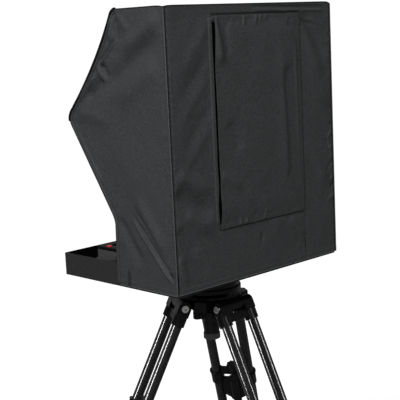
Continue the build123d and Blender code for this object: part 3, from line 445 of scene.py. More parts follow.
# For each slot: material name, dark and light colour, roughness, grain, grain strength, and more
SKINS = {
    "black_casting": plain_skin(
        "satin_black_casting", grey(0.001), grey(0.003), 0.27, 900, 0.4, specular=0.12,
    ),
    "bright_steel": plain_skin(
        "zinc_steel", grey(0.28, 0.02), grey(0.42, 0.02), 0.25, 1200, 0.15, metal=1.0,
    ),
    "knob_plastic": plain_skin(
        "moulded_knob", grey(0.002), grey(0.004), 0.34, 1600, 0.4, specular=0.15,
    ),
    "grey_powder_coat": plain_skin(
        "grey_powder_coat", grey(0.015), grey(0.022), 0.5, 1400, 0.35, specular=0.2,
    ),
    "monitor_plastic": plain_skin(
        "monitor_plastic", grey(0.012), grey(0.018), 0.42, 1800, 0.3, specular=0.25,
    ),
    "screen": plain_skin("screen_gloss", grey(0.006), grey(0.009), 0.12, 60, 0.02),
    "circuit_board": plain_skin(
        "solder_mask", (0.01, 0.07, 0.03, 1), (0.015, 0.1, 0.04, 1), 0.35, 700, 0.2,
    ),
    "frame_steel": plain_skin("frame_paint", grey(0.012), grey(0.02), 0.42, 900, 0.3),
    "black_aluminium": plain_skin(
        "black_anodised", grey(0.012), grey(0.018), 0.36, 2400, 0.2, metal=0.4,
    ),
    "red_plastic": plain_skin(
        "red_button", (0.34, 0.008, 0.01, 1), (0.44, 0.012, 0.016, 1), 0.35, 900, 0.1, specular=0.2,
    ),
    "gloss_tube": plain_skin(
        "gloss_black_tube", grey(0.001), grey(0.002), 0.17, 500, 0.02, specular=0.08,
    ),
    "boot_rubber": plain_skin("boot_rubber", grey(0.008), grey(0.016), 0.8, 1300, 0.5),
    "coated_glass": glass_skin(),
    "hood_cloth": hood_cloth(),
}
THREAD = plain_skin("sewing_thread", grey(0.02), grey(0.035), 0.7, 1500, 0.5, specular=0.2)
# near-black cloth: dark tape, and also painted shade where it marks shaded grooves, gaps and edges
DARK_TAPE_AND_PAINTED_SHADE = hood_cloth("dark_tape_and_painted_shade", 0.003, 0.007)
TAB_CLOTH = hood_cloth("tab_cloth", 0.012, 0.022)
# piping cloth lighter than the hood cloth: painted highlight of the light line that runs along the seams and
# the foot
PAINTED_HIGHLIGHT_PIPING = hood_cloth("piping_painted_highlight", 0.036, 0.056)
OWN_SKINS = {
    "base_tray": tray_skin(),
    "monitor_case": plain_skin("case_plastic", grey(0.035), grey(0.05), 0.45, 1800, 0.3, specular=0.3),
    "ball_clamp_knob": banded_skin(),
    "power_adapter": plain_skin("adapter_plastic", grey(0.004), grey(0.008), 0.45, 1500, 0.4, specular=0.2),
    "monitor_bezel": plain_skin("bezel_plastic", grey(0.002), grey(0.004), 0.5, 1800, 0.3, specular=0.1),
}


def dress_cad_nodes():
    """Give every CAD node the material of its slot, or its own."""
    for row in frame["record"]["subparts"]:
        shown = frame["nodes"][row["node"]]
        shown.data.materials.clear()
        shown.data.materials.append(OWN_SKINS.get(row["node"], SKINS[row["material_slot"]]))


def dress(piece, slot, skin=None):
    piece.data.materials.clear()
    piece.data.materials.append(skin or SKINS[slot])
    return piece


# ---------------------------------------------------------------- hood outline

EVEN_STEPS = 40


def evenly(length):
    """Places from 0 to a length in equal steps."""
    return [length * k / EVEN_STEPS for k in range(EVEN_STEPS + 1)]


def smooth_max(a, b, ease):
    h = max(ease - abs(a - b), 0.0) / ease
    return max(a, b) + h * h * ease / 4


def round_off(past, radius):
    """How much a rounded corner takes off, past being 0 at the corner and negative before it."""
    over = min(max(past + radius, 0.0), radius)
    return radius - math.sqrt(radius ** 2 - over ** 2)


def corner_drop(across, forward):
    """How far the roof's edges dip where they meet at a corner."""
    return CORNER_DROP * math.exp(-(HALF_WIDTH - abs(across) + max(forward, 0)) / CORNER_REACH)


def panel_drop(across, forward, height):
    """How far the dip of a roof corner takes the panel below it down, at a height."""
    return corner_drop(across, forward) * smooth_step((height - HOOD_TOP) / DROP_REACH + 1)


def hem_and_seam(height, from_seam):
    """The step of the doubled bottom hem, less the dip beside an upright seam."""
    hem = HEM_STEP * smooth_step((BOTTOM_HEM - (height - HOOD_HEM)) / (1.5 * MM))
    return hem - SEAM_DIP * math.exp(-from_seam / (5 * MM))


def front_edge(height):
    """How far forward the side panel reaches at a height."""
    skirt = SKIRT_DEPTH + (WAIST_DEPTH - SKIRT_DEPTH) * height / WAIST_HEIGHT
    slope = WAIST_DEPTH + (NOSE_DEPTH - WAIST_DEPTH) * (height - WAIST_HEIGHT) / (NOSE_HEIGHT - WAIST_HEIGHT)
    t = (height - NOSE_HEIGHT) / (HOOD_TOP - NOSE_HEIGHT)
    brow = NOSE_DEPTH + (TOP_DEPTH - NOSE_DEPTH) * t - 4 * BROW_SAG * t * (1 - t)
    lower = smooth_max(skirt, slope, WAIST_EASE)
    reach = -smooth_max(-lower, -brow, NOSE_EASE)
    return reach - round_off(height - HOOD_TOP, TOP_ROUND) - round_off(HOOD_HEM - height, HEM_ROUND)


def outline_out(height):
    """Unit vector (forward, up) square to the front edge."""
    step = 1 * MM
    slope = (front_edge(height + step) - front_edge(height - step)) / (2 * step)
    length = math.hypot(1, slope)
    return 1 / length, -slope / length


# ---------------------------------------------------------------- side panels

REAR_PUCKERS = make_puckers((0, 0.02), (0, 0.6), (1, 0), 24, 20 * MM, 0.7 * MM)
TOP_PUCKERS = make_puckers((0.02, HOOD_TOP), (0.150, HOOD_TOP), (0, -1), 6, 26 * MM, 0.7 * MM)
HEM_WIDTH = 9 * MM
# Each fold and crease: its two ends as (forward, height), its width and its depth
SIDE_FOLDS = [
    ((0.128, 0.186), (0.040, 0.096), 5.0 * MM, -1.6 * MM),
    ((0.120, 0.215), (0.020, 0.080), 17 * MM, 3.8 * MM),
    ((0.185, 0.165), (0.095, 0.045), 12 * MM, -3.2 * MM),
    ((0.006, 0.560), (0.235, 0.425), 19 * MM, -5.8 * MM),
    ((0.004, 0.598), (0.150, 0.515), 17 * MM, 3.8 * MM),
    ((0.010, 0.500), (0.170, 0.405), 22 * MM, 3.5 * MM),
    ((0.160, 0.602), (0.176, 0.540), 6 * MM, 3.2 * MM),
    ((0.152, 0.600), (0.150, 0.540), 7 * MM, -3.5 * MM),
    ((0.140, 0.600), (0.110, 0.560), 8 * MM, 1.7 * MM),
    ((0.208, 0.500), (0.190, 0.462), 7 * MM, -4.3 * MM),
    ((0.218, 0.500), (0.205, 0.455), 5 * MM, 3.2 * MM),
    ((0.200, 0.470), (0.272, 0.410), 12 * MM, -4.9 * MM),
    ((0.226, 0.478), (0.292, 0.412), 5 * MM, 3.5 * MM),
    ((0.312, 0.392), (0.180, 0.372), 16 * MM, 2.3 * MM),
]
SIDE_CREASES = [
    ((0.141, 0.173), (0.006, 0.030), 5.0 * MM, -5.0 * MM),
    ((0.320, 0.358), (0.226, 0.226), 5.0 * MM, 2.7 * MM),
    ((0.146, 0.556), (0.214, 0.496), 4.5 * MM, 3.5 * MM),
    ((0.074, 0.492), (0.108, 0.432), 4.0 * MM, 1.4 * MM),
    ((0.236, 0.440), (0.254, 0.418), 4.0 * MM, 1.9 * MM),
]


def side_shape(forward, height, seed):
    """How far a side panel's cloth stands out from flat."""
    p = (forward, height)
    edge = front_edge(height)
    rim = min(forward, edge - forward, HOOD_TOP - height, height - HOOD_HEM)
    slack = 2.6 * MM * billow(p, 0.10, seed) + 0.7 * MM * billow(p, 0.035, seed + 5)
    out = slack * smooth_step(rim / SLACK_REACH)
    for start, end, width, depth in SIDE_FOLDS:
        out += fold(p, start, end, width, depth, 0.25, 0.35)
    for start, end, width, depth in SIDE_CREASES:
        out += crease(p, start, end, width, depth, 0.3, 0.12)
    out += puckers(p, REAR_PUCKERS) + puckers(p, TOP_PUCKERS)
    inset = edge - forward
    out += 0.6 * MM * billow((height, 0.3), 0.02, seed + 9) * bump_at(inset - 18 * MM, 14 * MM)
    return out * smooth_step(rim / SEAM_REACH) + hem_and_seam(height, forward)


def side_point(side, forward, height):
    seed = 3.0 if side > 0 else 11.0
    out = side_shape(forward, height, seed)
    drop = panel_drop(HALF_WIDTH, forward, height)
    return place(side * (HALF_WIDTH + out), forward, height - drop)


def side_panel(side, word):
    shares = spread(0, 1, 0.010, [(0, 0.03, 0.005), (1, 0.05, 0.005)])
    fine = [(HOOD_TOP, 14 * MM, 1 * MM), (HOOD_HEM, 15 * MM, 1 * MM)]
    heights = spread(HOOD_HEM, HOOD_TOP, 3 * MM, fine)

    def point(share, height):
        return side_point(side, share * front_edge(height), height)

    return grid_sheet(f"hood_cloth_{word}", shares, heights, point, flip=side > 0)


# ---------------------------------------------------------------- back panel

SLIT_X = 133.5 * MM      # hem of the back cloth beside the flap's free edge
WINDOW_LOW_X = -141 * MM
WINDOW_LOW_Z = 140 * MM
WINDOW_HIGH_Z = 575 * MM
SLIT_GAPE = 3.2 * MM
GAPE_HEIGHT = 172 * MM
SLIT_STRIP = 11 * MM     # width of the raised strip beside the slit
STRIP_OUT = 2.2 * MM
FLAP_GROOVE = 3.4 * MM   # depth of the line in the back cloth round the flap
SEAM_GROOVE = 2.6 * MM   # depth of the line beside the right rear seam
FOLD_BACK_ROOM = 1.4 * MM
TAB_OUT = 0.8 * MM
BACK_PUCKERS = (
    make_puckers((-0.268, 0.13), (-0.268, 0.34), (0.8, -0.6), 8, 34 * MM, -2.6 * MM)
    + make_puckers((-0.268, 0.36), (-0.268, 0.59), (1, -0.2), 8, 20 * MM, 0.9 * MM)
    + make_puckers((0.268, 0.03), (0.268, 0.59), (-1, -0.3), 20, 22 * MM, 0.8 * MM)
    + make_puckers((-0.26, HOOD_HEM), (-0.10, HOOD_HEM), (-0.3, 1), 7, 18 * MM, 0.8 * MM)
)
# Ends of the folds and creases on the back and the flap are (across, height)
BACK_FOLDS = [
    ((0.140, 0.575), (0.245, 0.455), 13 * MM, 1.0 * MM),
    ((0.142, 0.515), (0.250, 0.400), 13 * MM, -1.2 * MM),
    ((0.142, 0.470), (0.250, 0.350), 12 * MM, 1.0 * MM),
    ((0.142, 0.400), (0.240, 0.300), 13 * MM, -1.0 * MM),
    ((0.142, 0.360), (0.236, 0.262), 12 * MM, 0.8 * MM),
    ((0.262, 0.232), (0.146, 0.156), 17 * MM, -5.0 * MM),
    ((0.258, 0.268), (0.150, 0.205), 14 * MM, 2.8 * MM),
    ((0.238, 0.180), (0.150, 0.122), 15 * MM, 2.6 * MM),
    ((0.262, 0.150), (0.200, 0.080), 16 * MM, -2.2 * MM),
    ((0.262, 0.090), (0.236, 0.020), 10 * MM, 2.0 * MM),
    ((0.030, 0.100), (-0.012, 0.078), 10 * MM, -2.4 * MM),
    ((-0.100, 0.120), (-0.160, 0.060), 14 * MM, 1.8 * MM),
    ((-0.160, 0.600), (-0.262, 0.470), 14 * MM, -3.6 * MM),
    ((-0.150, 0.560), (-0.240, 0.430), 14 * MM, 2.6 * MM),
    ((-0.168, 0.470), (-0.262, 0.360), 16 * MM, 2.2 * MM),
    ((-0.170, 0.300), (-0.255, 0.160), 18 * MM, 2.0 * MM),
]
BACK_CREASES = [
    ((-0.262, 0.597), (0.045, 0.604), 5.0 * MM, 2.4 * MM),
    ((-0.080, 0.594), (-0.235, 0.560), 5.0 * MM, 1.8 * MM),
    ((-0.246, 0.300), (-0.262, 0.240), 4.0 * MM, 1.6 * MM),
]
TAB_LOW = (80 * MM, HOOD_HEM)
TAB_HIGH = (116 * MM, 47 * MM)


def slit_hem(height):
    """Where the back cloth's hem runs beside the slit, which gapes near its foot."""
    gape = SLIT_GAPE * bump_at(height - GAPE_HEIGHT, 30 * MM)
    return SLIT_X + gape + 0.5 * MM * billow((height, 0.4), 0.05, 31.0)


def back_folds(across, height, rim):
    """Slack, folds and puckers of the back panel, which fade out at the slit."""
    p = (across, height)
    slack = 2.4 * MM * billow(p, 0.11, 21.0) + 0.7 * MM * billow(p, 0.040, 27.0)
    out = slack * smooth_step(rim / SLACK_REACH)
    for start, end, width, depth in BACK_FOLDS:
        out += fold(p, start, end, width, depth, 0.2, 0.35)
    for start, end, width, depth in BACK_CREASES:
        out += crease(p, start, end, width, depth, 0.15, 0.3)
    out += puckers(p, BACK_PUCKERS)
    if across > 0:
        out *= smooth_step((across - SLIT_X - 3 * MM) / (20 * MM))
    return out


def back_shape(across, height):
    """How far the back panel's cloth stands out from flat."""
    rim = min(HALF_WIDTH - abs(across), HOOD_TOP - height, height - HOOD_HEM)
    out = back_folds(across, height, rim)
    # cloth under the flap lies flat
    over = min(across - FLAP_LOW.x, FLAP_FREE_X - across, FLAP_TOP - height, height - FLAP_BOTTOM)
    out *= 1 - smooth_step(over / (12 * MM) + 0.5)
    # room for the flap to fold back flat against the cloth beside its seam
    beyond = FLAP_LOW.x - across
    if out > 0 and beyond > 0:
        out *= smooth_step((beyond - 10 * MM) / (40 * MM))
    if beyond > 0:
        out -= FOLD_BACK_ROOM * bump_at(beyond, 9 * MM)
    if across < SLIT_X:
        out -= FLAP_GROOVE * bump_at(over + 1.5 * MM, 2.6 * MM)
    out -= SEAM_GROOVE * bump_at(HALF_WIDTH - across - 6 * MM, 3.2 * MM)
    # hem strip beside the slit, rolled up at its edge
    beside = across - SLIT_X
    if WINDOW_LOW_Z < height < WINDOW_HIGH_Z + 10 * MM and beside > -2 * MM:
        out += STRIP_OUT * smooth_step((SLIT_STRIP - beside) / (4 * MM))
        out += 0.8 * MM * billow((height, 0.7), 0.05, 33.0) * math.exp(-abs(beside) / (12 * MM))
    out *= smooth_step(rim / SEAM_REACH)
    if TAB_LOW[0] < across < TAB_HIGH[0] and height < TAB_HIGH[1]:
        out += TAB_OUT
    return out + hem_and_seam(height, HALF_WIDTH - abs(across))


def back_point(across, height):
    pull = (slit_hem(height) - SLIT_X) * bump_at(across - SLIT_X, 8 * MM)
    return place(across + pull, -back_shape(across, height), height - panel_drop(across, 0, height))


def back_panel():
    fine = [(SLIT_X, 13 * MM, 1.0 * MM), (TAB_LOW[0], 2 * MM, 0.7 * MM), (TAB_HIGH[0], 2 * MM, 0.7 * MM)]
    fine += [(FLAP_LOW.x, 8 * MM, 1.0 * MM), (HALF_WIDTH, 14 * MM, 1.2 * MM)]
    left = spread(-HALF_WIDTH, SLIT_X, 3.4 * MM, fine)
    right = spread(SLIT_X, HALF_WIDTH, 3.4 * MM, fine)
    near = [(HOOD_TOP, 12 * MM, 1.4 * MM), (HOOD_HEM, 15 * MM, 1 * MM)]
    near += [(FLAP_TOP, 7 * MM, 1 * MM), (FLAP_BOTTOM, 7 * MM, 1 * MM)]
    heights = spread(HOOD_HEM, HOOD_TOP, 3.2 * MM, near)

    def keep(across, height):
        return not (WINDOW_LOW_X < across < SLIT_X and WINDOW_LOW_Z < height < WINDOW_HIGH_Z)

    return grid_sheet("hood_cloth_back", left + right[1:], heights, back_point, keep, flip=True)


PLACKET_X = (118 * MM, 140 * MM)
PLACKET_Z = (WINDOW_LOW_Z - 14 * MM, WINDOW_HIGH_Z + 12 * MM)
PLACKET_IN = 4 * MM


def placket():
    """Facing behind the slit, sewn to the inside of the back cloth."""
    def point(across, height):
        sewn = smooth_step((across - PLACKET_X[1] + 12 * MM) / (12 * MM))
        return place(across, PLACKET_IN - 2 * MM * sewn, height)

    columns = spread(*PLACKET_X, 3 * MM)
    rows = spread(*PLACKET_Z, 6 * MM)
    return grid_sheet("hood_placket", columns, rows, point, flip=True)


# ---------------------------------------------------------------- roof and brow

def roof_path():
    """Points (forward, height) along the roof and down the brow to the nose."""
    path = [(forward, HOOD_TOP) for forward in evenly(front_edge(HOOD_TOP))]
    heights = spread(0, HOOD_TOP - NOSE_HEIGHT, 2.5 * MM, [(0, 12 * MM, 0.5 * MM)])
    path += [(front_edge(HOOD_TOP - down), HOOD_TOP - down) for down in heights[1:]]
    return path


ROOF_PATH = roof_path()
ROOF_SAG = 2.5 * MM


def roof_way(k):
    """Unit vector (forward, up) square to the roof's path at point k."""
    a = ROOF_PATH[max(k - 1, 0)]
    b = ROOF_PATH[min(k + 1, len(ROOF_PATH) - 1)]
    length = math.hypot(b[0] - a[0], b[1] - a[1])
    return (a[1] - b[1]) / length, (b[0] - a[0]) / length


def roof_panel():
    brow_start = front_edge(HOOD_TOP)

    def point(across, k):
        forward, height = ROOF_PATH[k]
        near = min(HALF_WIDTH - abs(across), forward if height > HOOD_TOP - MM else 1.0)
        p = (across, forward + height)
        slack = 2.4 * MM * billow(p, 0.12, 41.0) + 1.5 * MM * billow(p, 0.04, 43.0)
        sag = (slack - ROOF_SAG) * smooth_step(near / SLACK_REACH)
        ahead, up = roof_way(k)
        drop = corner_drop(across, forward) if forward < brow_start else 0
        return place(across, forward + ahead * sag, height + up * sag - drop)

    fine = [(-HALF_WIDTH, 16 * MM, 2 * MM), (HALF_WIDTH, 16 * MM, 2 * MM)]
    columns = spread(-HALF_WIDTH, HALF_WIDTH, 4.2 * MM, fine)
    return grid_sheet("hood_cloth_roof", columns, range(len(ROOF_PATH)), point, flip=True)


# ---------------------------------------------------------------- flap

FLAP_FREE_X = 130.5 * MM
FLAP_TOP = FLAP_HIGH.z - BASE_Z
FLAP_BOTTOM = FLAP_LOW.z - BASE_Z
FLAP_OUT = 2.0 * MM
FLAP_SEAM_OUT = 1.4 * MM     # the flap lies closer to the back at its seam
FLAP_EASE = 26 * MM          # from its seam to where it stands at FLAP_OUT
FLAP_CROWN = 3.5 * MM        # by which its middle stands out more
FLAP_ROUND = 14 * MM         # of its top free corner
FLAP_PUCKERS = (
    make_puckers((-0.060, FLAP_TOP), (0.085, FLAP_TOP), (0.15, -1), 9, 24 * MM, 2.4 * MM)
    + make_puckers((-0.020, FLAP_BOTTOM), (FLAP_FREE_X, FLAP_BOTTOM), (-0.3, 1), 8, 30 * MM, 2.6 * MM)
    + make_puckers((FLAP_LOW.x, 0.20), (FLAP_LOW.x, FLAP_TOP), (1, 0.2), 12, 16 * MM, 1.6 * MM)
)
FLAP_FOLDS = [
    ((0.128, 0.592), (0.112, 0.480), 11 * MM, 4.5 * MM),
    ((0.110, 0.590), (0.092, 0.500), 12 * MM, -5.0 * MM),
    ((-0.112, 0.480), (-0.122, 0.200), 17 * MM, -6.0 * MM),
    ((-0.136, 0.540), (-0.140, 0.200), 6 * MM, 1.9 * MM),
    ((-0.085, 0.530), (-0.095, 0.180), 16 * MM, 1.6 * MM),
    ((0.095, 0.360), (0.060, 0.290), 16 * MM, -1.6 * MM),
    ((-0.110, 0.572), (-0.150, 0.545), 8 * MM, -3.0 * MM),
    ((-0.095, 0.230), (-0.140, 0.190), 10 * MM, -2.0 * MM),
    ((0.128, 0.250), (0.060, 0.210), 12 * MM, 1.6 * MM),
]


def flap_shape(across, height):
    """How far the flap's cloth stands out beyond its flat place."""
    p = (across, height)
    rim = min(FLAP_TOP - height, height - FLAP_BOTTOM, across - FLAP_LOW.x)
    slack = 2.0 * MM * billow(p, 0.12, 51.0) + 0.6 * MM * billow(p, 0.04, 57.0)
    out = (FLAP_CROWN + slack) * smooth_step(rim / (45 * MM))
    for start, end, width, depth in FLAP_FOLDS:
        out += fold(p, start, end, width, depth, 0.15, 0.25)
    out += puckers(p, FLAP_PUCKERS)
    return max(out, 0.0) * smooth_step(rim / (4 * MM))


def flap_point(across, height):
    from_seam = smooth_step((across - FLAP_LOW.x) / FLAP_EASE)
    out = FLAP_SEAM_OUT + (FLAP_OUT - FLAP_SEAM_OUT + flap_shape(across, height)) * from_seam
    return place(across, -out, height)


def flap_free_edge(height):
    """Where the flap's free edge runs: rounded at the top, drawn in a little near the foot."""
    wave = 0.6 * MM * billow((height, 0.2), 0.045, 61.0)
    drawn = 1.6 * MM * bump_at(height - 168 * MM, 26 * MM)
    return FLAP_FREE_X - round_off(height - FLAP_TOP, FLAP_ROUND) - drawn + wave


def flap_panel():
    def point(share, height):
        return flap_point(FLAP_LOW.x + (flap_free_edge(height) - FLAP_LOW.x) * share, height)

    shares = spread(0, 1, 0.010, [(1, 0.04, 0.005), (0, 0.05, 0.006)])
    fine = [(FLAP_TOP, FLAP_ROUND, 1.2 * MM), (FLAP_BOTTOM, 10 * MM, 1.5 * MM)]
    heights = spread(FLAP_BOTTOM, FLAP_TOP, 3 * MM, fine)
    return grid_sheet("hood_flap_cloth", shares, heights, point, flip=True)


# ---------------------------------------------------------------- hood

def sheet_on_hood(piece):
    dress(piece, "hood_cloth")
    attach(piece, "prompter")


def sew_hood():
    tall = HOOD_TOP - HOOD_HEM
    heights = spread(HOOD_HEM, HOOD_TOP, 3 * MM)
    side_area = sum(front_edge(h) for h in heights) / len(heights) * tall
    for side, word in ((1, "right"), (-1, "left")):
        panel = side_panel(side, word)
        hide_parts(f"hood_side_{word}")
        sheet_on_hood(panel)
        trim_side(side, word)
    back = back_panel()
    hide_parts("hood_back")
    sheet_on_hood(back)
    facing = placket()
    sheet_on_hood(facing)
    # facing in near-black cloth: painted shade of the hood's dark inside seen through the slit
    facing.data.materials[0] = DARK_TAPE_AND_PAINTED_SHADE
    roof = roof_panel()
    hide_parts("hood_top", "hood_front")
    sheet_on_hood(roof)
    trim_back()


PIPING_R = 1.2 * MM
PIPING_OUT = 0.7 * MM
# The dark line beside the rear corner is drawn by a near-black cord: painted shade in the groove.
GROOVE_IN = 3.2 * MM         # from the rear corner to the dark line on the back beside it
HEM_TUBE_R = 1.0 * MM
BROW_TAPE_R = 3.8 * MM
BROW_TAPE_WRAP = 12 * MM     # how far below the nose the brow's tape ends
BINDING_OUT = 0.7 * MM
BINDING_LIP = 0.4 * MM       # by which the binding passes the front edge
HEM_STITCH_LENGTH = 185 * MM
STITCH_SKIP = 8              # heights at each end of the front edge without stitches
SIDE_TAB_X = (151 * MM, 158 * MM)
SIDE_TAB_Z = (9 * MM, 40 * MM)
SIDE_TAB_OUT = 1.9 * MM
TAB_STITCH_INSET = 2 * MM
SLIT_STITCH_IN = 8 * MM


def trim(piece, skin):
    """Finish a small sewn piece and let it ride with the hood."""
    dress(piece, "hood_cloth", skin)
    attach(piece, "prompter")


def trim_side_seams(side, word, heights):
    """Piping and tape along the seams, and the binding of the front edge."""
    out = Vector((side, 0, 0))
    shift = Vector((side * PIPING_OUT, PIPING_OUT, 0))
    # rear piping in the lighter cloth: painted highlight along the rear seam
    rear = [side_point(side, 0, h) + shift for h in heights]
    trim(tube(f"hood_rear_piping_{word}", rear, PIPING_R), PAINTED_HIGHLIGHT_PIPING)
    # near-black cord in the groove: painted shade beside the rear seam
    groove = [back_point(side * (HALF_WIDTH - GROOVE_IN), h) for h in heights]
    trim(tube(f"hood_rear_groove_painted_shade_{word}", groove, PIPING_R), DARK_TAPE_AND_PAINTED_SHADE)
    top = [side_point(side, forward, HOOD_TOP) for forward in evenly(front_edge(HOOD_TOP))]
    trim(tube(f"hood_top_piping_{word}", top, HEM_TUBE_R), DARK_TAPE_AND_PAINTED_SHADE)
    # thick near-black brow tape: binding, drawn dark and wide as painted shade of the front cloth turning
    # away
    brow = [side_point(side, front_edge(h), h) for h in heights if h >= NOSE_HEIGHT - BROW_TAPE_WRAP]
    trim(tube(f"hood_brow_tape_painted_shade_{word}", brow, BROW_TAPE_R), DARK_TAPE_AND_PAINTED_SHADE)
    edge = []
    inner = []
    for h in heights:
        ahead, up = outline_out(h)
        at = front_edge(h)
        edge.append(side_point(side, at, h) + Vector((0, -ahead, up)) * BINDING_LIP)
        inner.append(side_point(side, at - HEM_WIDTH * ahead, h - HEM_WIDTH * up))
    trim(strip(f"hood_binding_{word}", edge, inner, out * BINDING_OUT), SKINS["hood_cloth"])
    # foot cord in the lighter cloth: painted highlight along the hood's foot
    foot = [side_point(side, forward, HOOD_HEM) for forward in evenly(SKIRT_DEPTH - HEM_ROUND)]
    trim(tube(f"hood_foot_{word}", foot, HEM_TUBE_R), PAINTED_HIGHLIGHT_PIPING)


def trim_side(side, word):
    """Everything sewn on a side panel: seams, stitches and a tab."""
    out = Vector((side, 0, 0))
    fine = [(HOOD_TOP, 14 * MM, 1 * MM), (HOOD_HEM, 12 * MM, 1 * MM)]
    heights = spread(HOOD_HEM, HOOD_TOP, 4 * MM, fine)
    trim_side_seams(side, word, heights)
    middle_heights = heights[STITCH_SKIP:-STITCH_SKIP]
    front = [side_point(side, front_edge(h) - HEM_WIDTH + 1.5 * MM, h) for h in middle_heights]
    seam = [side_point(side, 6 * MM, h) for h in heights]
    above_hem = HOOD_HEM + BOTTOM_HEM - 2 * MM
    hem = [side_point(side, forward, above_hem) for forward in evenly(HEM_STITCH_LENGTH)]
    for name, line in (("front", front), ("seam", seam), ("hem", hem)):
        trim(stitches(f"hood_{name}_stitches_{word}", line, out), THREAD)

    def on_tab(forward, height):
        return side_point(side, forward, height) + out * SIDE_TAB_OUT

    columns = spread(*SIDE_TAB_X, 1.4 * MM)
    rows = spread(*SIDE_TAB_Z, 2 * MM)
    trim(grid_sheet(f"hood_tab_{word}", columns, rows, on_tab, flip=side > 0), TAB_CLOTH)


def tab_outline():
    """Up one side of the back's sewn tab, along its top and down the other side."""
    low, high = TAB_LOW[0] + TAB_STITCH_INSET, TAB_HIGH[0] - TAB_STITCH_INSET
    top = TAB_HIGH[1] - TAB_STITCH_INSET
    corners = [(low, TAB_LOW[1]), (low, top), (high, top), (high, TAB_LOW[1])]
    outline = []
    for a, b in zip(corners, corners[1:]):
        for k in range(9):
            outline.append(back_point(a[0] + (b[0] - a[0]) * k / 8, a[1] + (b[1] - a[1]) * k / 8))
    return outline


def trim_back():
    """Foot, top and hem of the back, its slit's stitches, and the outline of its sewn tab."""
    out = Vector((0, 1, 0))
    acrosses = spread(-HALF_WIDTH, HALF_WIDTH, 6 * MM)
    # foot cord in the lighter cloth: painted highlight along the hood's foot
    foot = [back_point(a, HOOD_HEM) for a in acrosses]
    trim(tube("hood_foot_back", foot, HEM_TUBE_R), PAINTED_HIGHLIGHT_PIPING)
    top = [back_point(a, HOOD_TOP) for a in spread(-HALF_WIDTH, HALF_WIDTH, 4 * MM)]
    trim(tube("hood_top_piping_back", top, HEM_TUBE_R), DARK_TAPE_AND_PAINTED_SHADE)
    hem = [back_point(a, HOOD_HEM + BOTTOM_HEM - 2 * MM) for a in acrosses]
    trim(stitches("hood_hem_stitches_back", hem, out), THREAD)
    trim(stitches("hood_tab_stitches_back", tab_outline(), out), THREAD)
    heights = spread(WINDOW_LOW_Z + 10 * MM, WINDOW_HIGH_Z - 5 * MM, 4 * MM)
    slit = [back_point(slit_hem(h) + SLIT_STITCH_IN, h) for h in heights]
    trim(stitches("hood_slit_stitches", slit, out), THREAD)


def sew_flap():
    flap = flap_panel()
    dress(flap, "hood_cloth")
    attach(flap, "hood_flap")
    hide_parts("hood_flap")
    out = Vector((0, 1, 0))
    heights = spread(FLAP_BOTTOM + 4 * MM, FLAP_TOP - 6 * MM, 4 * MM)
    edge = [flap_point(flap_free_edge(h) - 6 * MM, h) for h in heights]
    across = spread(FLAP_LOW.x + 4 * MM, FLAP_FREE_X - 12 * MM, 4 * MM)
    top = [flap_point(a, FLAP_TOP - 6 * MM) for a in across]
    foot = [flap_point(a, FLAP_BOTTOM + 6 * MM) for a in across]
    for name, line in (("edge", edge), ("top", top), ("foot", foot)):
        piece = stitches(f"flap_stitches_{name}", line, out)
        dress(piece, "hood_cloth", THREAD)
        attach(piece, "hood_flap")


# ---------------------------------------------------------------- stage, lights, camera

CAMERA_FORWARD = -1542 * MM      # the camera stands behind the hood and to its right
CAMERA_ACROSS = 1691.7 * MM
CAMERA_HEIGHT = 558.7 * MM
CAMERA_YAW = 225.779
CAMERA_PITCH = 9.423
CAMERA_ROLL = -2.755
CAMERA_LENS = 91.65
CAMERA_SENSOR = 36


def add_camera():
    camera = bpy.data.objects.new("camera", bpy.data.cameras.new("camera"))
    bpy.context.scene.collection.objects.link(camera)
    camera.data.lens = CAMERA_LENS
    camera.data.sensor_width = CAMERA_SENSOR
    yaw, pitch, roll = (math.radians(a) for a in (CAMERA_YAW, CAMERA_PITCH, CAMERA_ROLL))
    ahead = Vector((math.cos(yaw) * math.cos(pitch), math.sin(yaw) * math.cos(pitch), -math.sin(pitch)))
    level = Vector((math.sin(yaw), -math.cos(yaw), 0))
    upright = level.cross(ahead)
    right = level * math.cos(roll) + upright * math.sin(roll)
    up = upright * math.cos(roll) - level * math.sin(roll)
    turn = Matrix((right, up, -ahead)).transposed().to_4x4()
    camera.matrix_world = Matrix.Translation(place(CAMERA_ACROSS, CAMERA_FORWARD, CAMERA_HEIGHT)) @ turn
    bpy.context.scene.camera = camera


def add_light(name, at, target, size, power):
    light = bpy.data.objects.new(name, bpy.data.lights.new(name, "AREA"))
    bpy.context.scene.collection.objects.link(light)
    light.data.shape = "RECTANGLE"
    light.data.size, light.data.size_y = size
    light.data.energy = power
    light.location = at
    light.rotation_euler = (Vector(target) - Vector(at)).to_track_quat("-Z", "Y").to_euler()
    return light


FLOOR_R = 3.2
FLOOR_SIDES = 64
ROOM_LIGHT = 0.34            # the world's light on the object
BACKDROP_LIGHT = 1.05        # and how bright the camera sees it
# The floor's glow for the camera: distance from the middle, and brightness there
FLOOR_GLOW = (("From Min", 0.5), ("From Max", 2.2), ("To Min", 0.72), ("To Max", 0.95))
HOOD_MIDDLE = (0, 0, 1.05)
LEGS_MIDDLE = (0, 0, 0.7)
# Each light: name, place, size and power
SOFTBOXES = (
    ("key_softbox", (3.0, 1.3, 2.6), (0.8, 0.8), 75),
    ("high_softbox", (2.2, 0.6, 3.7), (0.8, 0.8), 114),
    ("fill_softbox", (0.6, 3.2, 2.8), (0.6, 0.9), 51),
)
STRIP_LIGHTS = (
    ("strip_softbox_left", (2.1, -0.7, 1.1), (0.2, 2.0), 640),
    ("strip_softbox_right", (-0.9, 2.3, 1.0), (0.2, 2.0), 360),
)


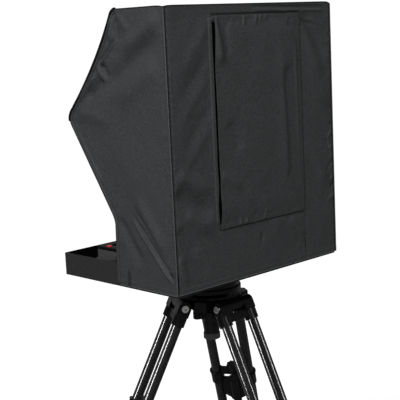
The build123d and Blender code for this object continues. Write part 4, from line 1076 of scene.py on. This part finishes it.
def add_floor():
    """Round pale floor. It glows for the camera only, so it doesn't light the object."""
    turns = [math.tau * k / FLOOR_SIDES for k in range(FLOOR_SIDES)]
    points = [(math.cos(a) * FLOOR_R, math.sin(a) * FLOOR_R, 0) for a in turns]
    floor = new_object("floor", points, [tuple(range(FLOOR_SIDES))], smooth=False)
    skin = material("floor_paper")
    mottled(skin, grey(0.26), grey(0.30), 3)
    shader = shader_of(skin)
    shader.inputs["Roughness"].default_value = 0.9
    shader.inputs["Emission Color"].default_value = (1, 1, 1, 1)
    place_in = node(skin, "ShaderNodeTexCoord")
    away = node(skin, "ShaderNodeVectorMath", operation="LENGTH")
    link(skin, place_in.outputs["Object"], away.inputs[0])
    glow = node(skin, "ShaderNodeMapRange")
    for name, value in FLOOR_GLOW:
        glow.inputs[name].default_value = value
    link(skin, away.outputs["Value"], glow.inputs["Value"])
    seen = node(skin, "ShaderNodeLightPath")
    shown = math_node(skin, "MULTIPLY", glow.outputs["Result"], seen.outputs["Is Camera Ray"])
    link(skin, shown, shader.inputs["Emission Strength"])
    floor.data.materials.append(skin)


def add_world():
    """White backdrop that is brighter to the camera than it lights the object."""
    world = bpy.data.worlds.new("studio")
    world.use_nodes = True
    nodes = world.node_tree.nodes
    links = world.node_tree.links
    room = nodes["Background"]
    room.inputs["Color"].default_value = (1, 1, 1, 1)
    room.inputs["Strength"].default_value = ROOM_LIGHT
    backdrop = nodes.new("ShaderNodeBackground")
    backdrop.inputs["Color"].default_value = (1, 1, 1, 1)
    backdrop.inputs["Strength"].default_value = BACKDROP_LIGHT
    seen = nodes.new("ShaderNodeLightPath")
    mix = nodes.new("ShaderNodeMixShader")
    links.new(seen.outputs["Is Camera Ray"], mix.inputs[0])
    links.new(room.outputs[0], mix.inputs[1])
    links.new(backdrop.outputs[0], mix.inputs[2])
    links.new(mix.outputs[0], nodes["World Output"].inputs[0])
    bpy.context.scene.world = world


def add_lights():
    """Soft boxes for everything, and tall strips that light only the legs' tubes."""
    for name, at, size, power in SOFTBOXES:
        add_light(name, at, HOOD_MIDDLE, size, power)
    tubes = bpy.data.collections.new("leg_tubes")
    for name, piece in frame["nodes"].items():
        if name.endswith(("tubes", "tube")):
            tubes.objects.link(piece)
    for name, at, size, power in STRIP_LIGHTS:
        strip_light = add_light(name, at, LEGS_MIDDLE, size, power)
        strip_light.light_linking.receiver_collection = tubes


dress_cad_nodes()
sew_hood()
sew_flap()
add_floor()
add_world()
add_lights()
add_camera()
bpy.context.scene.view_settings.view_transform = "Standard"
